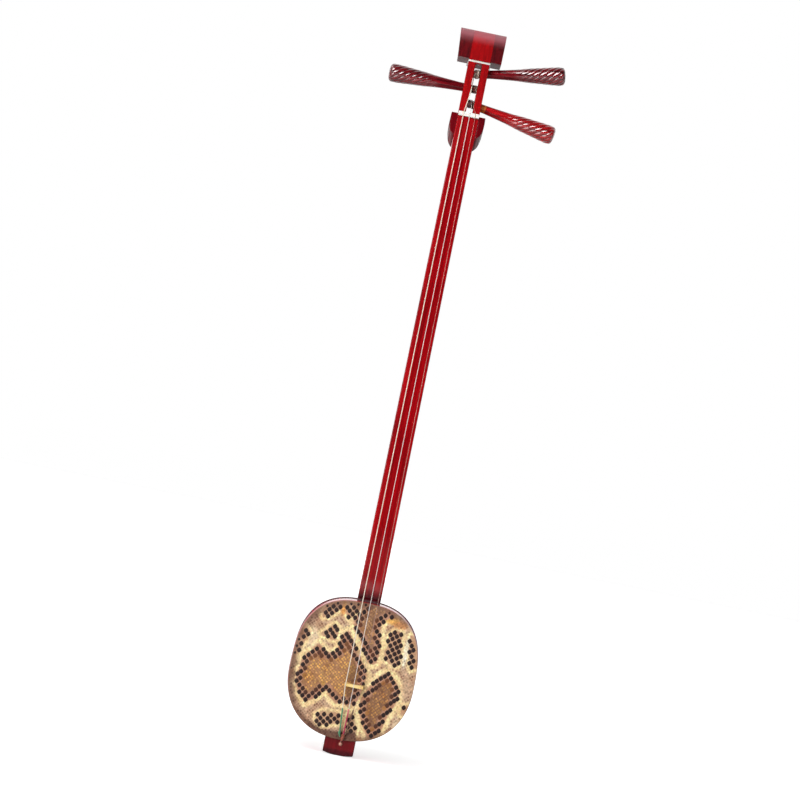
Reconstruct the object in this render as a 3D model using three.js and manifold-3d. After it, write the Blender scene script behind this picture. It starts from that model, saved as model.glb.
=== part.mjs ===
// A large northern sanxian: a fretless lute with three strings, a shovel head bent back, three
// fluted pegs, a rounded drum with a skin on both sides, and a tail block that holds the strings.
// Millimetres. +Z runs up the neck, the front faces -Y and +X is on the viewer's right.
// The origin is the middle of the tail's bottom end, on the axis of the stick inside the drum.

import * as THREE from "three";
import { mergeVertices } from "three/addons/utils/BufferGeometryUtils.js";
import Module from "manifold-3d";

const wasm = await Module();
wasm.setup();

// Clearances
const seam = 0.3; // between pieces that touch or are glued
const overrun = 6; // how far a cutter runs past what it cuts

// Drum
const drumWidth = 211.6;
const drumShift = -2.5; // the drum sits this far off the stick's axis
const drumRise = 125.2; // from the widest line up to the neck's seat
const drumDrop = 108.6; // from the widest line down to the tail's seat
const drumDepth = 80; // skin face to skin face
const drumBulge = 2.2; // how far the barrel side stands out past its edges
const upperExponent = 2.7; // superellipse exponents of the outline's two halves
const lowerExponent = 2.3;
const frameWall = 10;
const skinThickness = 1;
const frameSteps = 20; // outline steps in each of the frame's four boards
// Depth share from front to back, and inset share of the bulge
const barrelShares = [
  [0, 1.7],
  [0.016, 1.15],
  [0.045, 0.85],
  [0.15, 0.45],
  [0.3, 0.12],
  [0.5, 0],
];

// How far the faces lie in front of the stick's axis
const skinReach = 22;
const neckReach = 19.5;
const tailReach = 17;

// Tail
const tailWidth = 51;
const tailDepth = 34;
const tailDrop = 25.4; // from the drum's bottom to the tail's end
const tailSag = 2.5; // how far the convex end drops in the middle
const tailFrontRound = 8.5;
const tailBackRound = 5;
const tailFloor = 14; // wood left below the stick's mortise
const tailEndShares = [
  [-1, 1],
  [-0.63, 0.36],
  [-0.28, 0],
  [0.28, 0],
  [0.63, 0.36],
  [1, 1],
];

// Neck
const neckTopWidth = 34.6;
const neckFootWidth = 38.6;
const neckTopDepth = 27;
const neckFootDepth = 33;
const neckBevel = 1.2;
const neckCheekShare = 0.3; // share of the depth that is a straight cheek
const neckRoundness = 2.2;
const scoopHeight = 22; // the face falls back over this height above the drum
const scoopDepth = 5;
const scoopShares = [
  [1, 0],
  [0.66, 0.12],
  [0.36, 0.42],
  [0.1, 1],
];
const stickWidth = 24;
const stickDepth = 20;
const tenonWidth = 16;
const tenonDepth = 13;
const tenonLength = 38;

// Head: heights along the head's own axis start at the nut's lower edge
const nutHeight = 1075.8; // nut's lower edge above the origin
const shoulderJoint = 55; // neck joint below the nut
const headTilt = THREE.MathUtils.degToRad(6);
const boxWidth = 35.1;
const boxDepth = 42;
const boxThroatDepth = 28; // depth of the wood behind the nut
const boxSwellHeight = 34; // where the back has swelled to its full depth
const boxBevel = 0.8;
const slotWidth = 11.4;
const slotRoof = 1.1; // wood between the slot's top and the inlay's lower edge
const slotCorner = 3;
const trimHeight = 92.3;
const trimThickness = 3;
const trimInlay = 2; // how deep the inlay sits in its groove
const trimProud = 0.8;
const trimSplay = 1.6; // how much wider the inlay is at the back, on each side
const shovelOverhang = 4; // the shovel's face stands this far ahead of the peg box
const shovelStraight = 21.6; // straight part of its face above the inlay
const shovelBend = 36; // radius of its backward curve
const shovelBendAngle = THREE.MathUtils.degToRad(62);
const shovelTipThickness = 10;
const shovelNose = 3;
const shovelBackLift = 2.7; // the shovel's back leaves the box this far above the inlay
const shovelWaistY = 26;
const shovelWaistLift = 16.7;
const wingFootWidth = 72.2; // over both wings
const leftWingFlare = 4.6; // how much further out each wing stands at its top
const rightWingFlare = 0.4;
const wingLift = 0.8; // wing's lower front edge above the inlay
const wingBackInset = 2;

// Nut
const nutThickness = 7.3; // along the strings
const nutProud = 3.4;
const nutSeat = 4.6;
const nutRound = 1.4;
const notchDepth = 0.7;

// Shoulders below the nut
const shoulderWidth = 57.6; // over both shoulders
const shoulderLift = 3.3; // their top above the nut's lower edge
const shoulderFrontDrop = 36.4;
const shoulderBackDrop = 56;
const shoulderDepth = 26.5;
// Width share and height share of the front outline, from the top's outer corner to the bottom
const shoulderShares = [
  [0.96, 0],
  [1, 0.28],
  [0.96, 0.55],
  [0.8, 0.75],
  [0.5, 0.9],
  [0.14, 0.985],
];

// Pegs
// Peg heights as shares of the peg box's height from the nut's top to the inlay
const lowPegShare = 0.82;
const highPegShare = 0.5176;
const middlePegShare = 0.2153;
const pegAxisDepth = 19; // behind the peg box's face
const lowPegSplay = THREE.MathUtils.degToRad(10.3);
const highPegSplay = 0;
const middlePegSplay = THREE.MathUtils.degToRad(9.8);
const lowCollar = 2; // how far outside its rail each handle starts
const middleCollar = 2.5;
const highCollar = -2;
const shaftRadius = 7; // where it leaves the rail
const shaftTipRadius = 6.1;
const shaftLength = 33.5; // inside the peg box
const handleLength = 127;
const handleRadius = 15.4;
const fluteCount = 10;
const fluteDepth = 1.1;
const fluteLead = 110;
const fluteStartShare = 0.33;
const fluteFullShare = 0.52;
// Length share and radius share of the handle
const handleShares = [
  [0, 0.455],
  [0.17, 0.515],
  [0.33, 0.6],
  [0.4, 0.66],
  [0.46, 0.72],
  [0.52, 0.775],
  [0.58, 0.815],
  [0.64, 0.85],
  [0.7, 0.885],
  [0.76, 0.925],
  [0.82, 0.965],
  [0.88, 0.99],
  [0.93, 1],
  [0.965, 0.96],
  [0.99, 0.8],
  [1, 0.55],
];

// Strings, from the viewer's left to right
const lowDiameter = 1.5;
const middleDiameter = 1;
const highDiameter = 0.6;
const loopGap = 0.45; // between neighbouring turns on a peg
const lowNutX = -8.9;
const middleNutX = 1.8;
const highNutX = 11.2;
const lowBridgeX = -10.4;
const middleBridgeX = 3.2;
const highBridgeX = 15.6;
const loopSteps = 24;
const tubeSides = 6;

// Bridge
const bridgeHeight = 11;
const bridgeWidth = 31.4;
const bridgeFootThickness = 6.6;
const bridgeCrownThickness = 4.6;
const bridgeX = 3.7;
const bridgeZ = 119.5;
const bridgeArchShare = 0.52; // of its height
const bridgeFootShare = 0.24; // of its width, each foot

// String ends, tail pin and tail cord
const silkRadius = 1.25;
const knotRadius = 2.1;
const silkTopZ = 81;
const silkEndZ = 42;
const rimCrossZ = 27.6;
const tailCordRadius = 1.9;
const tailKnotRadius = 2.9;
const pinX = 1.2;
const pinZ = 20.6;
const pinRadius = 1.5;
const pinHeadRadius = 2.5;
const pinHeadThickness = 2;
const pinDepth = 5.5;
const nooseRadius = 0.9;

// Places worked out from the sizes above
const skinY = -skinReach;
const drumZ = tailDrop + drumDrop; // widest line
const frameFrontY = skinY + skinThickness + seam;
const frameBackY = skinY + drumDepth - skinThickness - seam;
const headPivot = new THREE.Vector3(0, -neckReach, nutHeight);
const jointZ = nutHeight - shoulderJoint;

// Materials, by the finish that the real pieces have
const finishes = {
  lacquer: { color: 0x8c0c14, roughness: 0.22, metalness: 0 },
  brightLacquer: { color: 0xb81018, roughness: 0.22, metalness: 0 },
  darkLacquer: { color: 0x5a0b12, roughness: 0.25, metalness: 0 },
  bone: { color: 0xf4f1ea, roughness: 0.35, metalness: 0 },
  bamboo: { color: 0xe6b465, roughness: 0.5, metalness: 0 },
  skin: { color: 0xa98460, roughness: 0.55, metalness: 0 },
  silkString: { color: 0xeed9be, roughness: 0.6, metalness: 0 },
  nylonString: { color: 0xf2eee6, roughness: 0.35, metalness: 0 },
  steelString: { color: 0xb9bcc0, roughness: 0.3, metalness: 1 },
  greenSilk: { color: 0x3c8c64, roughness: 0.7, metalness: 0 },
  crimsonSilk: { color: 0xbe2850, roughness: 0.7, metalness: 0 },
  brownSilk: { color: 0x8c4a30, roughness: 0.7, metalness: 0 },
};
const materials = {};
for (const [name, finish] of Object.entries(finishes)) {
  materials[name] = new THREE.MeshStandardMaterial(finish);
}

// Solids

function solidFrom(geometry) {
  const bare = geometry.index ? geometry.toNonIndexed() : geometry.clone();
  for (const name of Object.keys(bare.attributes)) {
    if (name !== "position") bare.deleteAttribute(name);
  }
  const merged = mergeVertices(bare, 1e-3);
  const solid = new wasm.Manifold(
    new wasm.Mesh({
      numProp: 3,
      vertProperties: merged.attributes.position.array,
      triVerts: new Uint32Array(merged.index.array),
    }),
  );
  return solid;
}

function geometryFrom(solid) {
  const mesh = solid.getMesh();
  const geometry = new THREE.BufferGeometry();
  geometry.setAttribute(
    "position",
    new THREE.BufferAttribute(new Float32Array(mesh.vertProperties), 3),
  );
  geometry.setIndex(new THREE.BufferAttribute(new Uint32Array(mesh.triVerts), 1));
  const flat = geometry.toNonIndexed();
  flat.computeVertexNormals();
  return flat;
}

function signedVolume(points, faces) {
  let sum = 0;
  const cross = new THREE.Vector3();
  for (const [a, b, c] of faces) {
    sum += points[a].dot(cross.crossVectors(points[b], points[c]));
  }
  return sum;
}

// A closed body through rings of as many points each, with a fan on both ends.
function loft(rings) {
  const count = rings[0].length;
  const points = rings.flat();
  const faces = [];
  for (let r = 0; r + 1 < rings.length; r += 1) {
    for (let i = 0; i < count; i += 1) {
      const j = (i + 1) % count;
      const a = r * count + i;
      const b = r * count + j;
      faces.push([a, b, b + count], [a, b + count, a + count]);
    }
  }
  for (const r of [0, rings.length - 1]) {
    const middle = new THREE.Vector3();
    for (const point of rings[r]) middle.addScaledVector(point, 1 / count);
    points.push(middle);
    const hub = points.length - 1;
    for (let i = 0; i < count; i += 1) {
      const a = r * count + i;
      const b = r * count + ((i + 1) % count);
      faces.push(r === 0 ? [hub, b, a] : [hub, a, b]);
    }
  }
  const inward = signedVolume(points, faces) < 0;
  const position = [];
  for (const [a, b, c] of faces) {
    for (const k of inward ? [a, c, b] : [a, b, c]) position.push(...points[k].toArray());
  }
  const geometry = new THREE.BufferGeometry();
  geometry.setAttribute("position", new THREE.Float32BufferAttribute(position, 3));
  geometry.computeVertexNormals();
  return geometry;
}

function box(x0, x1, y0, y1, z0, z1) {
  const geometry = new THREE.BoxGeometry(x1 - x0, y1 - y0, z1 - z0);
  return geometry.translate((x0 + x1) / 2, (y0 + y1) / 2, (z0 + z1) / 2);
}

const along = {
  x: new THREE.Vector3(1, 0, 0),
  y: new THREE.Vector3(0, 1, 0),
  z: new THREE.Vector3(0, 0, 1),
};

// A shape drawn in Y and Z, extruded along X between two places.
function extrudeAcross(shape, x0, x1, bevel = 0, curveSegments = 10) {
  const geometry = new THREE.ExtrudeGeometry(shape, {
    depth: x1 - x0 - 2 * bevel,
    bevelEnabled: bevel > 0,
    bevelThickness: bevel,
    bevelSize: bevel,
    bevelOffset: -bevel,
    bevelSegments: 1,
    curveSegments,
  });
  geometry.translate(0, 0, x0 + bevel);
  return geometry.applyMatrix4(new THREE.Matrix4().makeBasis(along.y, along.z, along.x));
}

// A shape drawn in X and Z, extruded along Y between two places.
function extrudeBack(shape, y0, y1) {
  const geometry = new THREE.ExtrudeGeometry(shape, { depth: y1 - y0, bevelEnabled: false });
  geometry.translate(0, 0, -y1);
  const back = along.y.clone().negate();
  return geometry.applyMatrix4(new THREE.Matrix4().makeBasis(along.x, along.z, back));
}

function shapeThrough(points) {
  return new THREE.Shape(points.map(([a, b]) => new THREE.Vector2(a, b)));
}

// A tube along points, with a radius at each, closed at both ends.
function tube(points, radii, sides) {
  const rings = [];
  const normal = new THREE.Vector3();
  const tangent = new THREE.Vector3();
  points.forEach((point, i) => {
    const before = points[Math.max(i - 1, 0)];
    const after = points[Math.min(i + 1, points.length - 1)];
    const into = point.clone().sub(before).normalize();
    const out = after.clone().sub(point).normalize();
    tangent.addVectors(into, out).normalize();
    if (i === 0) {
      normal.crossVectors(tangent, Math.abs(tangent.x) < 0.9 ? along.x : along.y);
    }
    normal.addScaledVector(tangent, -normal.dot(tangent)).normalize();
    const side = new THREE.Vector3().crossVectors(tangent, normal);
    const ring = [];
    for (let k = 0; k < sides; k += 1) {
      const angle = (2 * Math.PI * k) / sides;
      ring.push(
        point
          .clone()
          .addScaledVector(normal, radii[i] * Math.cos(angle))
          .addScaledVector(side, radii[i] * Math.sin(angle)),
      );
    }
    rings.push(ring);
  });
  return loft(rings);
}

// Model

const sanxian = new THREE.Group();

function addPiece(name, geometry, material, parent = sanxian) {
  const mesh = new THREE.Mesh(geometry, material);
  mesh.name = name;
  parent.add(mesh);
  return mesh;
}

// Drum outline: a superellipse with its own height and exponent above and below the widest line

function outlinePoint(angle, inset, y) {
  const up = Math.sin(angle) >= 0;
  const power = 2 / (up ? upperExponent : lowerExponent);
  const height = (up ? drumRise : drumDrop) - inset;
  const half = drumWidth / 2 - inset;
  const x = half * Math.sign(Math.cos(angle)) * Math.abs(Math.cos(angle)) ** power;
  const z = height * Math.sign(Math.sin(angle)) * Math.abs(Math.sin(angle)) ** power;
  return new THREE.Vector3(drumShift + x, y, drumZ + z);
}

// The barrel's profile from front to back as [inset, y].
function barrelProfile() {
  const depth = frameBackY - frameFrontY;
  const front = barrelShares.map(([depthShare, insetShare]) => [
    insetShare * drumBulge,
    frameFrontY + depthShare * depth,
  ]);
  const back = front
    .slice(0, -1)
    .reverse()
    .map(([inset, y]) => [inset, frameFrontY + frameBackY - y]);
  return [...front, ...back];
}

function outlineRing(inset, y) {
  const ring = [];
  for (let i = 0; i < 4 * frameSteps; i += 1) {
    ring.push(outlinePoint((2 * Math.PI * i) / (4 * frameSteps), inset, y));
  }
  return ring;
}

// The drum's whole outside, grown by a clearance: the cutter for what seats on it.
function drumCutter() {
  const rings = barrelProfile().map(([inset, y]) => outlineRing(inset - seam, y));
  return solidFrom(loft(rings));
}

function stickBox(clearance, z0, z1) {
  const x = stickWidth / 2 + clearance;
  const y = stickDepth / 2 + clearance;
  return solidFrom(box(-x, x, -y, y, z0, z1));
}

function makeDrum() {
  const boards = ["frame_right", "frame_top", "frame_left", "frame_bottom"];
  const quarter = Math.PI / 2;
  const gapAngle = seam / drumRise / 2;
  const profile = barrelProfile();
  boards.forEach((name, k) => {
    const from = (k - 0.5) * quarter + gapAngle;
    const span = quarter - 2 * gapAngle;
    const rings = [];
    for (let i = 0; i <= frameSteps; i += 1) {
      const angle = from + (span * i) / frameSteps;
      const ring = profile.map(([inset, y]) => outlinePoint(angle, inset, y));
      ring.push(outlinePoint(angle, frameWall, frameBackY));
      ring.push(outlinePoint(angle, frameWall, frameFrontY));
      rings.push(ring);
    }
    let board = solidFrom(loft(rings));
    if (name === "frame_top" || name === "frame_bottom") {
      board = board.subtract(stickBox(seam, 0, nutHeight));
    }
    addPiece(name, geometryFrom(board), materials.lacquer);
  });
  const skins = [
    ["front_skin", skinY],
    ["back_skin", skinY + drumDepth - skinThickness],
  ];
  for (const [name, y] of skins) {
    const rings = [outlineRing(drumBulge, y), outlineRing(drumBulge, y + skinThickness)];
    addPiece(name, loft(rings), materials.skin);
  }
}

// Neck

function neckSection(width, depth, front, roundness, z) {
  const half = width / 2;
  const cheek = front + neckCheekShare * depth;
  const ring = [
    [-half, front + neckBevel],
    [-half + neckBevel, front],
    [half - neckBevel, front],
    [half, front + neckBevel],
  ];
  const steps = 12;
  const power = 2 / roundness;
  for (let i = 0; i <= steps; i += 1) {
    const angle = (Math.PI * i) / steps;
    const cosine = Math.cos(angle);
    const x = half * Math.sign(cosine) * Math.abs(cosine) ** power;
    const y = cheek + (depth - (cheek - front)) * Math.abs(Math.sin(angle)) ** power;
    ring.push([x, y]);
  }
  return ring.map(([x, y]) => new THREE.Vector3(x, y, z));
}

function tenonBox(clearance) {
  const x = tenonWidth / 2 + clearance;
  const middle = -neckReach + neckTopDepth / 2;
  const y = tenonDepth / 2 + clearance;
  const root = jointZ - overrun;
  return solidFrom(box(-x, x, middle - y, middle + y, root, jointZ + tenonLength + clearance));
}

function makeNeck() {
  const footZ = drumZ + drumRise;
  const scoopZ = footZ + scoopHeight;
  const rings = [neckSection(neckTopWidth, neckTopDepth, -neckReach, neckRoundness, jointZ)];
  for (const [heightShare, scoopShare] of scoopShares) {
    const scoop = scoopShare * scoopDepth;
    const z = footZ + heightShare * scoopHeight;
    rings.push(
      neckSection(neckFootWidth, neckFootDepth - scoop, -neckReach + scoop, neckRoundness, z),
    );
  }
  const scoopedDepth = neckFootDepth - scoopDepth;
  const scoopedFace = -neckReach + scoopDepth;
  rings.push(
    neckSection(neckFootWidth, scoopedDepth, scoopedFace, neckRoundness, footZ - scoopHeight),
  );
  const stick = stickBox(0, tailFloor + seam, scoopZ);
  const neck = solidFrom(loft(rings)).subtract(drumCutter()).add(stick).add(tenonBox(0));
  addPiece("neck", geometryFrom(neck), materials.lacquer);
}

// Head: drawn along its own axis, then leant back at the nut

const head = new THREE.Group();
head.position.copy(headPivot);
head.rotation.x = -headTilt;
sanxian.add(head);
sanxian.updateMatrixWorld(true);

function headPoint(x, y, z) {
  return head.localToWorld(new THREE.Vector3(x, y, z));
}

// The shovel's side view above a lower edge that runs from its face to its back.
function shovelOutline(shape, backY) {
  const bendY = shovelBend - shovelOverhang;
  const bendZ = trimHeight + trimThickness + shovelStraight;
  const tip = Math.PI - shovelBendAngle;
  const inner = shovelBend - shovelTipThickness;
  shape.absarc(bendY, bendZ, shovelBend, Math.PI, tip, true);
  const noseY = bendY + (shovelBend - shovelTipThickness / 2) * Math.cos(tip);
  const noseZ = bendZ + (shovelBend - shovelTipThickness / 2) * Math.sin(tip);
  shape.quadraticCurveTo(
    noseY + shovelNose * Math.sin(tip),
    noseZ - shovelNose * Math.cos(tip),
    bendY + inner * Math.cos(tip),
    bendZ + inner * Math.sin(tip),
  );
  const trimTop = trimHeight + trimThickness;
  shape.quadraticCurveTo(
    shovelWaistY,
    trimTop + shovelWaistLift,
    backY,
    trimTop + shovelBackLift,
  );
}

function headBlockShape() {
  const trimTop = trimHeight + trimThickness;
  const shape = new THREE.Shape();
  shape.moveTo(boxThroatDepth, -neckBevel);
  shape.lineTo(0, -neckBevel);
  shape.lineTo(0, trimTop);
  shape.lineTo(-shovelOverhang, trimTop);
  shovelOutline(shape, boxDepth);
  shape.lineTo(boxDepth, boxSwellHeight);
  shape.quadraticCurveTo(boxDepth, nutThickness, boxThroatDepth, -neckBevel);
  return shape;
}

function wingShape() {
  const foot = trimHeight + trimThickness + wingLift;
  const shape = new THREE.Shape();
  shape.moveTo(boxDepth - wingBackInset, foot);
  shape.lineTo(-shovelOverhang, foot);
  shovelOutline(shape, boxDepth - wingBackInset);
  return shape;
}

function pegHeight(heightShare) {
  return nutThickness + heightShare * (trimHeight - nutThickness);
}

// The peg's axis in the head: its height, and its direction from the slot towards the handle
const pegs = {
  low: { z: pegHeight(lowPegShare), splay: lowPegSplay, side: 1, collar: lowCollar },
  high: { z: pegHeight(highPegShare), splay: highPegSplay, side: -1, collar: highCollar },
  middle: { z: pegHeight(middlePegShare), splay: -middlePegSplay, side: 1, collar: middleCollar },
};

function pegFrame(peg) {
  const direction = new THREE.Vector3(
    peg.side * Math.cos(peg.splay),
    0,
    Math.sin(peg.splay),
  );
  const turn = new THREE.Quaternion().setFromUnitVectors(along.z, direction);
  const place = new THREE.Vector3(0, pegAxisDepth, peg.z);
  return new THREE.Matrix4().compose(place, turn, new THREE.Vector3(1, 1, 1));
}

// Distance along a peg's axis, from the slot's middle, at which its handle starts
function collarPlace(peg) {
  return boxWidth / 2 / Math.cos(peg.splay) + peg.collar;
}

function shaftRadiusAt(peg, place) {
  const share = (collarPlace(peg) - place) / shaftLength;
  return shaftRadius + (shaftTipRadius - shaftRadius) * share;
}

function pegHole(peg) {
  const near = collarPlace(peg) + overrun;
  const far = collarPlace(peg) - shaftLength - seam;
  const sides = 24;
  const rings = [far, near].map((place) => {
    const radius = shaftRadiusAt(peg, place) + seam;
    const ring = [];
    for (let k = 0; k < sides; k += 1) {
      const angle = (2 * Math.PI * k) / sides;
      ring.push(new THREE.Vector3(radius * Math.cos(angle), radius * Math.sin(angle), place));
    }
    return ring;
  });
  return solidFrom(loft(rings).applyMatrix4(pegFrame(peg)));
}

function slotCutter() {
  const half = slotWidth / 2;
  const floor = nutThickness;
  const slotTop = trimHeight - slotRoof;
  const shape = new THREE.Shape();
  shape.moveTo(-half, floor);
  shape.lineTo(half, floor);
  shape.lineTo(half, slotTop - slotCorner);
  shape.absarc(half - slotCorner, slotTop - slotCorner, slotCorner, 0, Math.PI / 2, false);
  shape.lineTo(slotCorner - half, slotTop);
  shape.absarc(slotCorner - half, slotTop - slotCorner, slotCorner, Math.PI / 2, Math.PI, false);
  return solidFrom(extrudeBack(shape, -overrun, boxDepth + overrun));
}

// The bone inlay's outline seen from above: a U open at the back, grown by a clearance.
function trimShape(outer, inner) {
  const front = -outer;
  const half = boxWidth / 2;
  const back = boxDepth;
  const shape = new THREE.Shape();
  shape.moveTo(-half - outer, front);
  shape.lineTo(half + outer, front);
  shape.lineTo(half + outer + trimSplay, back);
  shape.lineTo(half - inner, back);
  shape.lineTo(half - inner, inner);
  shape.lineTo(inner - half, inner);
  shape.lineTo(inner - half, back);
  shape.lineTo(-half - outer - trimSplay, back);
  return shape;
}

function makeTrim(outer, inner, z0, z1) {
  const shape = trimShape(outer, inner);
  const geometry = new THREE.ExtrudeGeometry(shape, { depth: z1 - z0, bevelEnabled: false });
  return geometry.translate(0, 0, z0);
}

function makeHeadBlock() {
  const half = boxWidth / 2;
  const core = [
    [neckTopWidth, neckTopDepth, neckRoundness, jointZ + seam],
    [boxWidth, neckTopDepth, 1.4 * neckRoundness, jointZ + shoulderJoint / 3],
    [boxWidth, boxThroatDepth, 3 * neckRoundness, nutHeight - 3 * seam],
  ].map(([width, depth, roundness, z]) =>
    neckSection(width, depth, -neckReach, roundness, z),
  );
  let block = solidFrom(extrudeAcross(headBlockShape(), -half, half, boxBevel));
  block = block.subtract(slotCutter());
  const trimTop = trimHeight + trimThickness;
  const groove = makeTrim(overrun, trimInlay, trimHeight - seam, trimTop + seam);
  block = block.subtract(solidFrom(groove));
  const notchTop = nutThickness + seam;
  const notch = box(-boxWidth, boxWidth, -overrun, nutSeat + seam, -seam, notchTop);
  for (const peg of Object.values(pegs)) block = block.subtract(pegHole(peg));
  const placed = geometryFrom(block).applyMatrix4(head.matrixWorld);
  const placedNotch = notch.applyMatrix4(head.matrixWorld);
  const whole = solidFrom(placed)
    .add(solidFrom(loft(core)))
    .subtract(solidFrom(placedNotch))
    .subtract(tenonBox(seam));
  addPiece("head_block", geometryFrom(whole), materials.brightLacquer);
}

function makeWings() {
  const inner = boxWidth / 2 + seam;
  const foot = trimHeight + trimThickness;
  const rise = shovelStraight + shovelBend * Math.sin(shovelBendAngle);
  const wings = [
    ["head_wing_left", -1, leftWingFlare],
    ["head_wing_right", 1, rightWingFlare],
  ];
  for (const [name, side, topFlare] of wings) {
    const outer = wingFootWidth / 2;
    const geometry = extrudeAcross(wingShape(), inner - overrun, outer, boxBevel);
    const wide = box(-overrun, inner, -overrun - boxDepth, 2 * boxDepth, 0, foot + 2 * boxDepth);
    const wing = geometryFrom(solidFrom(geometry).subtract(solidFrom(wide)));
    const position = wing.attributes.position;
    for (let i = 0; i < position.count; i += 1) {
      const widthShare = (position.getX(i) - inner) / (outer - inner);
      const heightShare = (position.getZ(i) - foot) / rise;
      const flare = topFlare * widthShare * heightShare;
      position.setX(i, position.getX(i) + flare);
    }
    const mesh = addPiece(name, wing, materials.darkLacquer, head);
    if (side < 0) mirror(mesh.geometry);
  }
}

// Turns a geometry into its mirror image in X, faces still pointing out.
function mirror(geometry) {
  const position = geometry.attributes.position;
  for (let i = 0; i < position.count; i += 3) {
    for (let k = 0; k < 3; k += 1) position.setX(i + k, -position.getX(i + k));
    const b = new THREE.Vector3().fromBufferAttribute(position, i + 1);
    const c = new THREE.Vector3().fromBufferAttribute(position, i + 2);
    position.setXYZ(i + 1, ...c.toArray());
    position.setXYZ(i + 2, ...b.toArray());
  }
  geometry.computeVertexNormals();
}

function makeTrimPiece() {
  const inlay = makeTrim(trimProud, trimInlay - seam, trimHeight, trimHeight + trimThickness);
  addPiece("head_trim", inlay, materials.bone, head);
}

const strings = {
  low: { radius: lowDiameter / 2, nutX: lowNutX, bridgeX: lowBridgeX },
  middle: { radius: middleDiameter / 2, nutX: middleNutX, bridgeX: middleBridgeX },
  high: { radius: highDiameter / 2, nutX: highNutX, bridgeX: highBridgeX },
};

function makeNut() {
  const shape = shapeThrough([
    [nutSeat, 0],
    [nutRound - nutProud, 0],
    [-nutProud, nutRound],
    [-nutProud, nutThickness - nutRound],
    [nutRound - nutProud, nutThickness],
    [nutSeat, nutThickness],
  ]);
  const half = neckTopWidth / 2;
  let nut = solidFrom(extrudeAcross(shape, -half, half));
  for (const string of Object.values(strings)) {
    const reach = string.radius + seam;
    const floor = notchDepth - nutProud;
    const x = string.nutX;
    const notch = box(x - reach, x + reach, -overrun, floor, -overrun, nutThickness + overrun);
    nut = nut.subtract(solidFrom(notch));
  }
  addPiece("nut", geometryFrom(nut), materials.bone, head);
}

function makeShoulders() {
  const inner = boxWidth / 2 + seam;
  const reach = shoulderWidth / 2 - inner;
  const topZ = nutHeight + shoulderLift;
  for (const [name, side] of [["shoulder_left", -1], ["shoulder_right", 1]]) {
    const rings = [
      [-neckReach, shoulderFrontDrop],
      [-neckReach + shoulderDepth, shoulderBackDrop],
    ].map(([y, drop]) => {
      const ring = shoulderShares.map(
        ([widthShare, heightShare]) =>
          new THREE.Vector3(side * (inner + widthShare * reach), y, topZ - heightShare * drop),
      );
      ring.push(new THREE.Vector3(side * inner, y, topZ - drop));
      ring.push(new THREE.Vector3(side * inner, y, topZ));
      return ring;
    });
    addPiece(name, loft(rings), materials.lacquer);
  }
}

// Pegs

function handleRadiusAt(lengthShare) {
  const next = handleShares.findIndex(([share]) => share >= lengthShare);
  if (next <= 0) return handleRadius * handleShares[0][1];
  const [s0, r0] = handleShares[next - 1];
  const [s1, r1] = handleShares[next];
  return handleRadius * (r0 + ((r1 - r0) * (lengthShare - s0)) / (s1 - s0));
}

function pegRing(place, radius, flute, twist) {
  const ring = [];
  const count = 2 * fluteCount;
  for (let k = 0; k < count; k += 1) {
    const angle = (2 * Math.PI * k) / count - twist;
    const r = radius - (k % 2 ? flute : 0);
    ring.push(new THREE.Vector3(r * Math.cos(angle), r * Math.sin(angle), place));
  }
  return ring;
}

function pegGeometry(peg) {
  const collar = collarPlace(peg);
  const tip = collar - shaftLength;
  const rings = [pegRing(tip, shaftTipRadius, 0, 0)];
  for (const [lengthShare] of handleShares) {
    const run = Math.max(lengthShare - fluteStartShare, 0) * handleLength;
    const grow = (lengthShare - fluteStartShare) / (fluteFullShare - fluteStartShare);
    const flute = fluteDepth * Math.min(Math.max(grow, 0), 1);
    const twist = (2 * Math.PI * run) / fluteLead;
    const place = collar + lengthShare * handleLength;
    rings.push(pegRing(place, handleRadiusAt(lengthShare), flute, twist));
  }
  return loft(rings);
}

function makePegs() {
  for (const [name, peg] of Object.entries(pegs)) {
    const geometry = pegGeometry(peg).applyMatrix4(pegFrame(peg));
    addPiece("peg_" + name, geometry, materials.darkLacquer, head);
  }
}

// Strings: where each one bends at the slot's edge and where it is wound on its peg's shaft.
// Places along the shaft and heights are measured as they show from the front.
const slotEdge = slotWidth / 2;
const routes = {
  low: { bendX: -slotEdge + 1.2, bendZ: 38, startX: -3.2, endX: 3.2, turns: 3.25 },
  middle: { bendX: middleNutX, bendZ: 11, startX: 0.7, endX: -3.6, turns: 2.9 },
  high: { bendX: slotEdge - 0.8, bendZ: 18.5, startX: 4.2, endX: -0.9, turns: 5 },
};

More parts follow.
